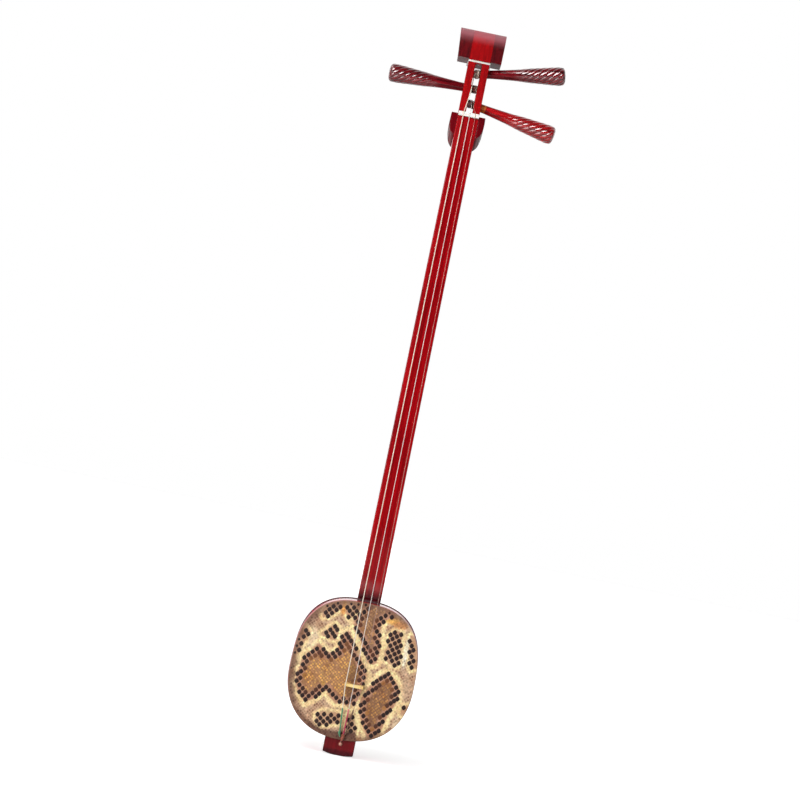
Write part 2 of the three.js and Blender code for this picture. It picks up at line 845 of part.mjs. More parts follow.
// The winding's centre line, the string's bend at the slot's edge, and the string's upper end,
// which stops where the winding turns past it with the peg.
function windingPath(name) {
  const string = strings[name];
  const peg = pegs[name];
  const route = routes[name];
  const matrix = new THREE.Matrix4().multiplyMatrices(head.matrixWorld, pegFrame(peg));
  const axis = new THREE.Vector3().setFromMatrixColumn(matrix, 2).multiplyScalar(peg.side);
  const centre = new THREE.Vector3().setFromMatrixPosition(matrix);
  const bend = headPoint(route.bendX, -string.radius - 2 * seam, route.bendZ);
  const wound = (x) => shaftRadiusAt(peg, peg.side * x) + seam + string.radius;
  const startCentre = centre.clone().addScaledVector(axis, route.startX);
  const towards = bend.clone().sub(startCentre);
  towards.addScaledVector(axis, -towards.dot(axis));
  const distance = towards.length();
  const ahead = towards.normalize();
  const above = new THREE.Vector3().crossVectors(axis, ahead);
  if (above.z < 0) above.negate();
  const sine = Math.sqrt(1 - (wound(route.startX) / distance) ** 2);
  const cosine = wound(route.startX) / distance;
  const outward = ahead.clone().multiplyScalar(cosine).addScaledVector(above, sine);
  const onward = above.clone().multiplyScalar(cosine).addScaledVector(ahead, -sine);
  const path = [];
  const steps = Math.round(route.turns * loopSteps);
  for (let i = 0; i <= steps; i += 1) {
    const share = i / steps;
    const angle = 2 * Math.PI * route.turns * share;
    const x = route.startX + (route.endX - route.startX) * share;
    path.push(
      centre
        .clone()
        .addScaledVector(axis, x)
        .addScaledVector(outward, wound(x) * Math.cos(angle))
        .addScaledVector(onward, wound(x) * Math.sin(angle)),
    );
  }
  const reach = wound(route.startX) + 2 * string.radius + 2 * seam;
  const free = Math.sqrt(reach ** 2 - wound(route.startX) ** 2);
  const lead = bend.clone().sub(path[0]).normalize();
  const end = path[0].clone().addScaledVector(lead, free);
  return { path, bend, end };
}

// The least gap between a winding and itself, over points that lie more than half a turn apart.
function leastGap(path, radius) {
  let least = Infinity;
  for (let i = 0; i < path.length; i += 1) {
    for (let j = i + loopSteps / 2; j < path.length; j += 1) {
      least = Math.min(least, path[i].distanceTo(path[j]) - 2 * radius);
    }
  }
  return least;
}

const stringMaterials = {
  low: materials.silkString,
  middle: materials.nylonString,
  high: materials.steelString,
};
const silkMaterials = {
  low: materials.greenSilk,
  middle: materials.crimsonSilk,
  high: materials.brownSilk,
};

// Silk ends: from the string's end down over the skin to the tail cord's knot
const bridgeCrownY = skinY - seam - bridgeHeight;
const rimY = skinY - seam - tailKnotRadius;
const silkEnds = {
  low: { endX: -4.1, knotX: -4.4, joinX: -2.1, joinZ: 33.4 },
  middle: { endX: 2.9, knotX: 2.8, joinX: 2.6, joinZ: 38.6 },
  high: { endX: 6.2, knotX: 6.1, joinX: 5.5, joinZ: 38.2 },
};

// The strings' plane below the bridge: the depth at a height
function tailLineY(z) {
  const crown = bridgeCrownY - seam - lowDiameter / 2;
  return crown + ((rimY - crown) * (bridgeZ - z)) / (bridgeZ - rimCrossZ);
}

function belowBridgeX(name, z) {
  const string = strings[name];
  const share = (bridgeZ - z) / (bridgeZ - silkEndZ);
  return string.bridgeX + (silkEnds[name].endX - string.bridgeX) * share;
}

function makeStrings() {
  for (const [name, string] of Object.entries(strings)) {
    const { path, bend, end } = windingPath(name);
    const radii = path.map(() => string.radius);
    addPiece("winding_" + name, tube(path, radii, tubeSides), stringMaterials[name]);
    const gap = leastGap(path, string.radius).toFixed(2);
    console.log("winding_" + name + " least gap to itself " + gap + " mm");

    const nutY = notchDepth - nutProud - seam - string.radius;
    const crownY = bridgeCrownY - seam - string.radius;
    const halfCrown = bridgeCrownThickness / 2;
    const silkTop = new THREE.Vector3(
      belowBridgeX(name, silkTopZ),
      tailLineY(silkTopZ),
      silkTopZ + seam,
    );
    const points = [
      end,
      bend,
      headPoint(string.nutX, nutY, nutThickness - nutRound / 2),
      headPoint(string.nutX, nutY, nutRound / 2),
      new THREE.Vector3(string.bridgeX, crownY, bridgeZ + halfCrown),
      new THREE.Vector3(string.bridgeX, crownY, bridgeZ - halfCrown),
      silkTop,
    ];
    const stringRadii = points.map(() => string.radius);
    addPiece("string_" + name, tube(points, stringRadii, 2 * tubeSides - 4), stringMaterials[name]);
  }
}

function makeSilks() {
  for (const [name, ends] of Object.entries(silkEnds)) {
    const knotZ = silkEndZ - 2 * knotRadius;
    const join = new THREE.Vector3(ends.joinX, tailLineY(ends.joinZ), ends.joinZ);
    const points = [
      new THREE.Vector3(belowBridgeX(name, silkTopZ), tailLineY(silkTopZ), silkTopZ),
      new THREE.Vector3(belowBridgeX(name, silkEndZ), tailLineY(silkEndZ), silkEndZ),
    ];
    const radii = [silkRadius, silkRadius];
    if (name === "low") {
      points.push(new THREE.Vector3(ends.knotX, tailLineY(silkEndZ - knotRadius), silkEndZ - knotRadius));
      radii.push(knotRadius);
      points.push(new THREE.Vector3(ends.knotX, tailLineY(knotZ), knotZ));
      radii.push(knotRadius);
    }
    points.push(join);
    radii.push(silkRadius);
    addPiece("silk_" + name, tube(points, radii, tubeSides + 2), silkMaterials[name]);
  }
}

function makeBridge() {
  const half = bridgeWidth / 2;
  const foot = bridgeFootShare * bridgeWidth;
  const arch = bridgeArchShare * bridgeHeight;
  const base = skinY - seam;
  const crown = base - bridgeHeight;
  const shape = new THREE.Shape();
  shape.moveTo(bridgeX - half, -base);
  shape.lineTo(bridgeX - half + foot, -base);
  shape.quadraticCurveTo(
    bridgeX - half + foot,
    -base + arch,
    bridgeX,
    -base + arch,
  );
  shape.quadraticCurveTo(bridgeX + half - foot, -base + arch, bridgeX + half - foot, -base);
  shape.lineTo(bridgeX + half, -base);
  shape.lineTo(bridgeX + half, -crown);
  shape.lineTo(bridgeX - half, -crown);
  const geometry = new THREE.ExtrudeGeometry(shape, {
    depth: bridgeFootThickness,
    bevelEnabled: false,
    curveSegments: 6,
  });
  geometry.translate(0, 0, -bridgeFootThickness / 2);
  const position = geometry.attributes.position;
  for (let i = 0; i < position.count; i += 1) {
    const heightShare = (position.getY(i) + base) / bridgeHeight;
    const thinning = 1 - bridgeCrownThickness / bridgeFootThickness;
    position.setZ(i, position.getZ(i) * (1 - thinning * heightShare));
  }
  const front = along.y.clone().negate();
  geometry.applyMatrix4(new THREE.Matrix4().makeBasis(along.x, front, along.z.clone().negate()));
  geometry.translate(0, 0, bridgeZ);
  addPiece("bridge", geometry, materials.bamboo);
}

// Tail

function roundedSide() {
  const front = -tailReach;
  const back = tailDepth - tailReach;
  const top = tailDrop + overrun + tailFrontRound;
  const shape = new THREE.Shape();
  shape.moveTo(front, top);
  shape.lineTo(front, tailFrontRound);
  shape.absarc(front + tailFrontRound, tailFrontRound, tailFrontRound, Math.PI, 1.5 * Math.PI, false);
  shape.lineTo(back - tailBackRound, 0);
  shape.absarc(back - tailBackRound, tailBackRound, tailBackRound, 1.5 * Math.PI, 2 * Math.PI, false);
  shape.lineTo(back, top);
  return shape;
}

function makeTail() {
  const half = tailWidth / 2;
  const top = tailDrop + overrun;
  const end = tailEndShares.map(([widthShare, sagShare]) => [
    widthShare * half,
    sagShare * tailSag,
  ]);
  const face = shapeThrough([...end, [half, top], [-half, top]]);
  const back = tailDepth - tailReach;
  const block = solidFrom(extrudeBack(face, -tailReach, back))
    .intersect(solidFrom(extrudeAcross(roundedSide(), -half - overrun, half + overrun, 0, 4)))
    .subtract(drumCutter())
    .subtract(stickBox(seam, tailFloor, drumZ))
    .subtract(pinSolid(seam, pinDepth));
  addPiece("tail_block", geometryFrom(block), materials.lacquer);
  addPiece("tail_pin", geometryFrom(pinSolid(0, pinDepth - seam)), materials.bone);
}

// The pin's shank leaves a throat for the noose between its head and the tail block.
function pinSolid(clearance, depth) {
  const throat = 2 * nooseRadius + 2 * seam;
  const shank = -tailReach - throat;
  const front = shank - pinHeadThickness;
  const profile = [
    [0, front],
    [0.8 * pinHeadRadius, front],
    [pinHeadRadius, front + 0.3 * pinHeadThickness],
    [pinHeadRadius, shank],
    [pinRadius + clearance, shank],
    [pinRadius + clearance, -tailReach + depth],
    [0, -tailReach + depth],
  ].map(([r, y]) => new THREE.Vector2(r, y));
  const geometry = new THREE.LatheGeometry(profile, 16);
  return solidFrom(geometry.translate(pinX, 0, pinZ));
}

function makeTailCord() {
  const nooseY = -tailReach - seam - nooseRadius;
  const loopRadius = pinRadius + seam + nooseRadius;
  const top = 37.6;
  const route = [
    [2.4, top, tailCordRadius],
    [2.4, top - tailKnotRadius, tailKnotRadius],
    [2.2, top - 2 * tailKnotRadius, tailKnotRadius],
    [1.8, top - 3 * tailKnotRadius, tailCordRadius],
  ].map(([x, z, radius]) => [new THREE.Vector3(x, tailLineY(z), z), radius]);
  for (const [y, z] of [[-24.4, 26.9], [-20.6, 25.3], [nooseY, 24.6], [nooseY, 23.3]]) {
    route.push([new THREE.Vector3(pinX, y, z), nooseRadius]);
  }
  const points = route.map(([point]) => point);
  const radii = route.map(([, radius]) => radius);
  const noose = new THREE.TorusGeometry(loopRadius, nooseRadius, tubeSides, 16);
  noose.rotateX(Math.PI / 2).translate(pinX, nooseY, pinZ);
  const cord = solidFrom(tube(points, radii, tubeSides + 2)).add(solidFrom(noose));
  addPiece("tail_cord", geometryFrom(cord), materials.brownSilk);
}

makeDrum();
makeNeck();
makeHeadBlock();
makeWings();
makeTrimPiece();
makeNut();
makeShoulders();
makePegs();
makeStrings();
makeSilks();
makeBridge();
makeTail();
makeTailCord();

export default sanxian;
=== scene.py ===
# A large northern sanxian in front of a white backdrop, standing on the end of its tail.
# Lengths are millimetres up to the place where a mesh is made, which is in metres.
# +Z runs up the neck, the front faces -Y and +X is on the viewer's right.

import math
import random

import bmesh
import bpy
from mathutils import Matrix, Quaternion, Vector


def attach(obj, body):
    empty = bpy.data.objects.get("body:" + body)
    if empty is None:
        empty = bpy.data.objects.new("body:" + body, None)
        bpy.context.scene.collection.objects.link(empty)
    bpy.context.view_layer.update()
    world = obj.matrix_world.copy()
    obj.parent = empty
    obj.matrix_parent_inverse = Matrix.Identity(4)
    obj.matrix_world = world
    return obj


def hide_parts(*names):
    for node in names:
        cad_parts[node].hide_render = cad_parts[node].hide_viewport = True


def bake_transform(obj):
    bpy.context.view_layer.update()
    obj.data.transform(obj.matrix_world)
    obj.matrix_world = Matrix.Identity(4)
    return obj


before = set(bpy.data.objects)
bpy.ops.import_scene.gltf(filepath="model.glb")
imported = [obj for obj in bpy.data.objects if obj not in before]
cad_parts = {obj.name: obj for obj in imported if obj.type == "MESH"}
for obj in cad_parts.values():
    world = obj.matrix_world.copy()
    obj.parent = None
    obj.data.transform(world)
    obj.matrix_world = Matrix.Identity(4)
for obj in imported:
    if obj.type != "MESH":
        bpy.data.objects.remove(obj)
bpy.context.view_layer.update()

# ---------------------------------------------------------------- sizes, as in the solids

SEAM = 0.3
DRUM_WIDTH, DRUM_SHIFT, DRUM_RISE, DRUM_DROP = 211.6, -2.5, 125.2, 108.6
DRUM_DEPTH, DRUM_BULGE, UPPER_POWER, LOWER_POWER = 80, 2.2, 2.7, 2.3
FRAME_WALL, SKIN_THICKNESS = 10, 1
BARREL = [(0, 1.7), (0.016, 1.15), (0.045, 0.85), (0.15, 0.45), (0.3, 0.12), (0.5, 0)]
SKIN_REACH, NECK_REACH, TAIL_REACH = 22, 19.5, 17
TAIL_WIDTH, TAIL_DEPTH, TAIL_DROP, TAIL_SAG = 51, 34, 25.4, 2.5
TAIL_FRONT_ROUND, TAIL_BACK_ROUND, TAIL_SIDE_ROUND = 8.5, 5, 1
TAIL_CURVE = [(-1, 1), (-0.63, 0.36), (-0.28, 0), (0, 0), (0.28, 0), (0.63, 0.36), (1, 1)]
NECK_TOP, NECK_FOOT, NECK_BEVEL, CHEEK, NECK_POWER = (34.6, 27), (38.6, 33), 1.2, 0.3, 2.2
SCOOP_HEIGHT, SCOOP_DEPTH = 22, 5
SCOOP = [(0.1, 1), (0.36, 0.42), (0.66, 0.12), (1, 0)]
NUT_HEIGHT, SHOULDER_JOINT, TILT = 1075.8, 55, math.radians(6)
BOX_WIDTH, BOX_DEPTH, THROAT, SWELL = 35.1, 42, 28, 34
SLOT_WIDTH, SLOT_ROOF, SLOT_CORNER = 11.4, 1.1, 3
TRIM_HEIGHT, TRIM_THICKNESS, TRIM_INLAY, TRIM_PROUD, TRIM_SPLAY = 92.3, 3, 2, 0.8, 1.6
OVERHANG, STRAIGHT, BEND, BEND_ANGLE = 4, 21.6, 36, math.radians(62)
TIP, NOSE, BACK_LIFT, WAIST_Y, WAIST_LIFT = 10, 3, 2.7, 26, 16.7
WING_FOOT, LEFT_FLARE, RIGHT_FLARE, WING_LIFT, WING_INSET = 72.2, 4.6, 0.4, 0.8, 2
NUT_THICKNESS, NUT_PROUD, NUT_SEAT, NUT_ROUND, NOTCH = 7.3, 3.4, 4.6, 1.4, 0.7
SHOULDER_WIDTH, SHOULDER_LIFT, FRONT_DROP, BACK_DROP, SHOULDER_DEPTH = 57.6, 3.3, 36.4, 56, 26.5
SHOULDER = [(0, 0.96), (0.28, 1), (0.55, 0.96), (0.75, 0.8), (0.9, 0.5), (0.985, 0.14)]
PEG_DEPTH, SHAFT_RADIUS, SHAFT_TIP, SHAFT_LENGTH = 19, 7, 6.1, 33.5
HANDLE_LENGTH, HANDLE_RADIUS, FLUTES, FLUTE_LEAD, FLUTE_DEPTH = 127, 15.4, 10, 110, 1.5
HANDLE = [
    (0, 0.455), (0.17, 0.515), (0.33, 0.6), (0.4, 0.66), (0.46, 0.72), (0.52, 0.775),
    (0.58, 0.815), (0.64, 0.85), (0.7, 0.885), (0.76, 0.925), (0.82, 0.965), (0.88, 0.99),
    (0.93, 1), (0.965, 0.96), (0.99, 0.8), (1, 0.55),
]
BRIDGE_HEIGHT, BRIDGE_WIDTH, BRIDGE_FOOT, BRIDGE_CROWN = 11, 31.4, 6.6, 4.6
BRIDGE_X, BRIDGE_Z = 3.7, 119.5
SILK_RADIUS, SILK_KNOT, SILK_TOP, SILK_END, RIM_CROSS = 1.25, 2.1, 81, 42, 27.6
CORD_RADIUS, CORD_KNOT, CORD_TOP, CORD_TWIST = 1.9, 2.9, 37.6, 7.5
STRANDS, STRAND_OFFSET, STRAND_RADIUS = 3, 0.46, 0.56  # the last two are shares of the cord's radius
PIN_X, PIN_Z, PIN_RADIUS, PIN_HEAD_DEPTH, NOOSE = 1.2, 20.6, 1.5, 2, 0.9
GLUE_GAP = 0.05  # between two pieces that are glued, so that their faces don't fight

SKIN_Y = -SKIN_REACH
DRUM_Z = TAIL_DROP + DRUM_DROP
DRUM_HALVES = {True: (DRUM_RISE, UPPER_POWER), False: (DRUM_DROP, LOWER_POWER)}  # True: the upper half
FRAME_FRONT = SKIN_Y + SKIN_THICKNESS + SEAM
FRAME_BACK = SKIN_Y + DRUM_DEPTH - SKIN_THICKNESS - SEAM
JOINT_Z = NUT_HEIGHT - SHOULDER_JOINT
TRIM_TOP = TRIM_HEIGHT + TRIM_THICKNESS


def peg_row(share, splay, side, collar):
    """A peg's height in the box, its slope, the side it comes in from, and where its shaft starts."""
    splay = math.radians(splay)
    z = NUT_THICKNESS + share * (TRIM_HEIGHT - NUT_THICKNESS)
    return {"z": z, "splay": splay, "side": side, "collar": BOX_WIDTH / 2 / math.cos(splay) + collar}


PEGS = {
    "low": peg_row(0.82, 10.3, 1, 2),
    "high": peg_row(0.5176, 0, -1, -2),
    "middle": peg_row(0.2153, -9.8, 1, 2.5),
}
STRINGS = {
    "low": {"radius": 0.75, "nut": -8.9, "bridge": -10.4},
    "middle": {"radius": 0.5, "nut": 1.8, "bridge": 3.2},
    "high": {"radius": 0.3, "nut": 11.2, "bridge": 15.6},
}
ROUTES = {
    "low": {"bend": (-SLOT_WIDTH / 2 + 1.2, 38), "start": -3.2, "end": 3.2, "turns": 3.25},
    "middle": {"bend": (1.8, 11), "start": 0.7, "end": -3.6, "turns": 2.9},
    "high": {"bend": (SLOT_WIDTH / 2 - 0.8, 18.5), "start": 4.2, "end": -0.9, "turns": 5},
}
SILKS = {
    "low": {"end": -4.1, "knot": -4.4, "join": (-2.1, 33.4), "look": "green"},
    "middle": {"end": 2.9, "join": (2.6, 38.6), "look": "crimson"},
    "high": {"end": 6.2, "join": (5.5, 38.2), "look": "brown"},
}

# ---------------------------------------------------------------- materials


def tone(colour):
    """A colour written in steps from 0 to 255, as the linear value that a shader takes."""
    steps = [step / 255 for step in colour]
    return (*(c / 12.92 if c <= 0.04045 else ((c + 0.055) / 1.055) ** 2.4 for c in steps), 1.0)


class Nodes:
    """Short ways to add nodes to a tree and to join them."""

    def __init__(self, tree):
        self.tree = tree

    def fill(self, node, inputs):
        """Gives each socket its number or colour, or joins it to another node's output."""
        for key, value in inputs.items():
            if isinstance(value, bpy.types.NodeSocket):
                self.tree.links.new(value, node.inputs[key])
            else:
                node.inputs[key].default_value = value

    def add(self, kind, inputs=None, **settings):
        node = self.tree.nodes.new("ShaderNode" + kind)
        for key, value in settings.items():
            setattr(node, key, value)
        self.fill(node, inputs or {})
        return node

    def maths(self, operation, *values):
        return self.add("Math", dict(enumerate(values)), operation=operation).outputs["Value"]

    def times(self, first, *others):
        for other in others:
            first = self.maths("MULTIPLY", first, other)
        return first

    def span(self, source, low, high, first, last):
        """A number that runs from first to last while the source runs from low to high."""
        ends = {"Value": source, "From Min": low, "From Max": high, "To Min": first, "To Max": last}
        return self.add("MapRange", ends).outputs["Result"]


class Look(Nodes):
    """One procedural material: its tree and its shader."""

    def __init__(self, name):
        self.material = bpy.data.materials.new(name)
        self.material.use_nodes = True
        super().__init__(self.material.node_tree)
        self.shader = self.tree.nodes["Principled BSDF"]
        self.place = self.add("TexCoord").outputs["Object"]

    def set(self, **values):
        self.fill(self.shader, {key.replace("_", " "): value for key, value in values.items()})

    def attribute(self, name, output="Fac"):
        return self.add("Attribute", attribute_name=name).outputs[output]

    def height(self):
        return self.add("SeparateXYZ", {0: self.place}).outputs["Z"]

    def noise(self, scale, detail=4.0, roughness=0.55, stretch=(1, 1, 1), distortion=0.0):
        place = self.add("Mapping", {"Vector": self.place, "Scale": stretch}).outputs["Vector"]
        inputs = {"Vector": place, "Scale": scale, "Detail": detail, "Roughness": roughness}
        return self.add("TexNoise", {**inputs, "Distortion": distortion}).outputs["Fac"]

    def ramp(self, source, places, tones):
        """Colours set at places along a source."""
        node = self.add("ValToRGB", {"Fac": source})
        elements = node.color_ramp.elements
        while len(elements) < len(places):
            elements.new(0.5)
        for element, position, colour in zip(elements, places, tones):
            element.position = position
            element.color = tone(colour)
        return node.outputs["Color"]

    def mix(self, share, first, second, blend="MIX"):
        first, second = (tone(c) if isinstance(c, tuple) else c for c in (first, second))
        inputs = {0: share, 6: first, 7: second}
        return self.add("Mix", inputs, data_type="RGBA", blend_type=blend).outputs[2]

    def patchy(self, source, first, last):
        """A roughness that follows the middle of a noise."""
        return self.span(source, 0.3, 0.7, first, last)

    def finish(self, height, distance, strength, **values):
        """Sets the shader's values and its bump, and gives the material."""
        bump = self.add("Bump", {"Height": height, "Distance": distance, "Strength": strength})
        self.set(Normal=bump.outputs["Normal"], **values)
        return self.material


def lacquer(name, tones, stretch=(1, 1, 0.045), coat=0.6, gloss=0.05, below=None, soft=0.002, painted_sheen=None):
    """Wood grain under a clear coat. below gives a height, and the darker tones painted under it where less
    light falls. The last argument gives the heights between which the lacquer fades to a painted pale sheen
    of reflected light, and the sheen's tint."""
    look = Look(name)
    places = (0.36, 0.5, 0.64)
    grain = look.noise(260, 5, 0.6, stretch, 0.3)
    cloud = look.noise(16, 3, 0.5, tuple(max(s, 0.35) for s in stretch))
    both = look.maths("MULTIPLY_ADD", grain, 0.6, look.times(cloud, 0.4))
    wood = look.ramp(both, places, tones)
    # Under a height the wood takes darker tones, painted where less light falls.
    if below:
        height, lower = below[0], look.ramp(both, places, below[1])
        wood = look.mix(look.span(look.height(), height - soft, height + soft, 1, 0), wood, lower)
    if painted_sheen:
        # A painted sheen of reflected light, paler towards the top.
        fade = look.maths("POWER", look.span(look.height(), painted_sheen[0], painted_sheen[1], 0, 1), 1.6)
        wood = look.mix(look.times(fade, 0.55), wood, painted_sheen[2])
    roughness = look.patchy(look.noise(34, 3), 0.22 + gloss, 0.34 + gloss)
    return look.finish(
        grain, 0.0001, 0.3, Base_Color=wood, Roughness=roughness,
        Coat_Weight=coat, Coat_Roughness=gloss, Specular_IOR_Level=0.05,
    )


def peg_look(name, tones, bare=None):
    """Lacquer with the flutes' valleys painted darker as shade, over a plain dark shaft. bare gives where a
    ring of bare wood ends above the root. The carved part is polished."""
    look = Look(name)
    grain = look.noise(240, 4, 0.6, (0.06, 1, 1), 0.3)
    wood = look.ramp(grain, (0.35, 0.52, 0.68), tones)
    # Painted shade: the flutes' valleys are darkened towards the darkest tone.
    colour = look.mix(look.span(look.attribute("ridge"), 0.1, 0.7, 0.7, 0), wood, tones[0])
    along = look.attribute("along")
    if bare:
        orange = look.ramp(grain, (0.35, 0.6, 0.75), ((186, 84, 34), (226, 126, 62), (240, 166, 98)))
        colour = look.mix(look.span(along, bare - 1, bare + 1, 1, 0), colour, orange)
    shaft = look.ramp(grain, (0.35, 0.6, 0.75), ((58, 34, 26), (92, 58, 42), (118, 80, 58)))
    colour = look.mix(look.span(along, -2.5, -1.5, 1, 0), colour, shaft)
    polish = look.span(along, 0.31 * HANDLE_LENGTH, 0.42 * HANDLE_LENGTH, 0.1, 1)
    return look.finish(
        grain, 0.0001, 0.25, Base_Color=colour, Roughness=look.patchy(look.noise(60, 3), 0.16, 0.26),
        Coat_Weight=polish, Coat_Roughness=0.04, Coat_IOR=1.6, Specular_IOR_Level=0.1,
    )


def bone_look(name, tones):
    look = Look(name)
    streak = look.noise(420, 4, 0.6, (1, 0.3, 0.25))
    return look.finish(
        streak, 0.00005, 0.3, Base_Color=look.ramp(streak, (0.3, 0.55, 0.8), tones),
        Roughness=look.patchy(look.noise(90), 0.28, 0.4), Coat_Weight=0.2, Coat_Roughness=0.15,
        Subsurface_Weight=0.12, Subsurface_Scale=0.002,
    )


def bamboo_look(name, tones):
    look = Look(name)
    fibre = look.noise(900, 3, 0.6, (0.05, 1, 1))
    cloud = look.noise(120, 3, 0.5, (0.3, 1, 1))
    both = look.maths("MULTIPLY_ADD", fibre, 0.5, look.times(cloud, 0.5))
    return look.finish(
        fibre, 0.00012, 0.5, Base_Color=look.ramp(both, (0.3, 0.46, 0.6), tones),
        Roughness=look.patchy(fibre, 0.38, 0.55), Coat_Weight=0.15, Coat_Roughness=0.3,
    )


def thread_look(name, tones, pitch, top=None):
    """Thread wound round a core: rings of one thread's pitch along the piece. top gives a tint at
    the piece's start, and how far it reaches."""
    look = Look(name)
    along = look.attribute("along")
    # Painted shade: each turn is darkened where it meets the next, in the groove between turns.
    wave = look.maths("SINE", look.times(along, 2 * math.pi / pitch))
    shade = look.maths("MULTIPLY_ADD", wave, 0.22, look.noise(1400, 3, 0.6))
    colour = look.ramp(shade, (0.28, 0.5, 0.74), tones)
    if top:
        colour = look.mix(look.span(along, 0, top[1], 0.85, 0), colour, top[0])
    return look.finish(
        shade, 0.00025, 0.8, Base_Color=colour, Roughness=0.5, Sheen_Weight=0.4,
        Sheen_Roughness=0.4, Specular_IOR_Level=0.4,
    )


def clear_look(name, tones):
    """A thin clear string, which takes the tint of what lies behind it."""
    look = Look(name)
    streak = look.noise(500, 3, 0.6, (1, 1, 0.1))
    return look.finish(
        streak, 0.00002, 0.3, Base_Color=look.ramp(streak, (0.3, 0.7), tones),
        Roughness=look.patchy(streak, 0.05, 0.16), Transmission_Weight=0.65, IOR=1.18,
    )


def skin_look(name):
    """Scales: their tints come with the mesh, and fine wrinkles and mottling lie over them."""
    look = Look(name)
    mottle = look.noise(330, 4, 0.62)
    colour = look.attribute("tint", "Color")
    for shade in (
        look.ramp(mottle, (0.32, 0.5, 0.7), ((216, 204, 194), (252, 250, 247), (255, 255, 255))),
        look.ramp(look.noise(46, 3), (0.3, 0.55), ((236, 222, 212), (255, 255, 255))),
    ):
        colour = look.mix(1.0, colour, shade, "MULTIPLY")
    wrinkled = look.maths("MULTIPLY_ADD", look.noise(1500, 3, 0.6, (1, 1, 1), 0.6), 0.5, mottle)
    return look.finish(
        wrinkled, 0.00022, 0.55, Base_Color=colour,
        Roughness=look.span(look.attribute("rise"), 0, 1, 0.62, 0.4),
        Specular_IOR_Level=0.25, Coat_Weight=0.06, Coat_Roughness=0.3,
    )


RED = ((116, 1, 8), (152, 3, 12), (178, 6, 16))
# Painted light: a lighter copy of the neck's red for the head, whose faces lean back towards the light.
LIT_RED = ((132, 2, 7), (160, 4, 10), (182, 7, 14))
# Painted shade: a darker red laid under the neck's scoop and along the bottom of the tail block.
SHADE_MAROON = ((54, 4, 12), (74, 8, 18), (92, 12, 24))
DARK = ((64, 2, 8), (90, 4, 12), (112, 8, 17))
CHEEKS = ((68, 1, 7), (94, 3, 12), (120, 5, 17))
TAIL = ((82, 3, 10), (106, 6, 16), (124, 10, 22))
CRIMSON = ((150, 2, 14), (192, 6, 24), (214, 14, 36))
# Painted sheen: the heights over which a pale reflection is laid on the head's top, and its tint.
TOP_SHEEN = (1.197, 1.213, (206, 128, 138))
LOOKS = {
    # The neck is painted darker below 0.274 m, as shade in its scoop.
    "red": lacquer("red_lacquer_wood", RED, below=(0.274, SHADE_MAROON), soft=0.008),
    "cheek": lacquer("cheek_lacquer_wood", CHEEKS),
    # The tail block is painted darker in its lowest 10 mm, as shade on its rounded underside.
    "tail": lacquer("tail_lacquer_wood", TAIL, coat=0.4, below=(0.01, SHADE_MAROON)),
    # The head block is painted lighter above the nut as light on its faces, keeps the neck's red below the
    # nut, and takes a painted sheen at its top.
    "bright": lacquer("lit_head_lacquer_wood", LIT_RED, coat=0.2, gloss=0.2, below=(1.076, RED), painted_sheen=TOP_SHEEN),
    # The shovel's wings take the same painted sheen at their top.
    "dark": lacquer("dark_lacquer_wood", DARK, coat=0.35, gloss=0.2, painted_sheen=TOP_SHEEN),
    "frame": lacquer("frame_lacquer_wood", CRIMSON, (1, 1, 1), 1.0),
    "peg": peg_look("peg_lacquer_wood", ((60, 3, 9), (112, 12, 22), (140, 20, 30))),
    # The middle peg's lighter reds are painted light. Its orange ring is bare wood where the lacquer is worn.
    "peg_bare": peg_look("worn_and_lit_peg_wood", ((92, 4, 8), (160, 12, 18), (188, 24, 28)), 5.8),
    "bone": bone_look("polished_bone", ((232, 227, 214), (247, 245, 240), (252, 251, 248))),
    "pin": bone_look("old_bone_pin", ((176, 118, 104), (206, 150, 130), (226, 180, 158))),
    "bamboo": bamboo_look("bridge_bamboo", ((222, 156, 78), (250, 206, 120), (255, 236, 168))),
    "skin": skin_look("python_skin_scales"),
    "low": thread_look("wound_silk_string", ((222, 202, 176), (247, 235, 214), (254, 250, 240)), 0.9),
    "middle": thread_look("white_string", ((214, 202, 194), (243, 236, 230), (252, 250, 247)), 0.7),
    "high": clear_look("clear_string", ((226, 186, 176), (246, 222, 212))),
    "green": thread_look("green_silk_thread", ((18, 74, 48), (58, 140, 98), (120, 190, 146)), 1.0),
    "crimson": thread_look(
        "crimson_silk_thread", ((112, 8, 40), (186, 32, 76), (226, 92, 116)), 1.0, ((238, 132, 138), 14)
    ),
    "brown": thread_look("brown_silk_thread", ((66, 42, 34), (112, 76, 60), (150, 112, 90)), 1.0),
    "cord": thread_look("brown_twisted_cord", ((84, 34, 26), (146, 66, 46), (190, 112, 84)), 1.3),
}

# ---------------------------------------------------------------- curves


def circle(count, start=0):
    """Cosines and sines of angles spread evenly round a circle."""
    angles = [2 * math.pi * (k + start) / count for k in range(count)]
    return [(math.cos(angle), math.sin(angle)) for angle in angles]


def arc(cx, cy, radius, first, last, steps):
    """Points of an arc between two angles in degrees."""
    first, last = math.radians(first), math.radians(last)
    angles = [first + (last - first) * i / steps for i in range(steps + 1)]
    return [(cx + radius * math.cos(angle), cy + radius * math.sin(angle)) for angle in angles]


def squared(value, power):
    """A cosine or sine raised to a power with its sign kept, which draws a rounded square."""
    return math.copysign(abs(value) ** power, value)


def bend_curve(a, b, c, steps):
    """Points of a quadratic curve after its start."""
    shares = [i / steps for i in range(1, steps + 1)]
    return [
        tuple((1 - t) ** 2 * p + 2 * t * (1 - t) * q + t * t * r for p, q, r in zip(a, b, c)) for t in shares
    ]


def ease(low, high, value):
    t = min(max((value - low) / (high - low), 0), 1)
    return t * t * (3 - 2 * t)


def between(first, last, share):
    return first + (last - first) * share


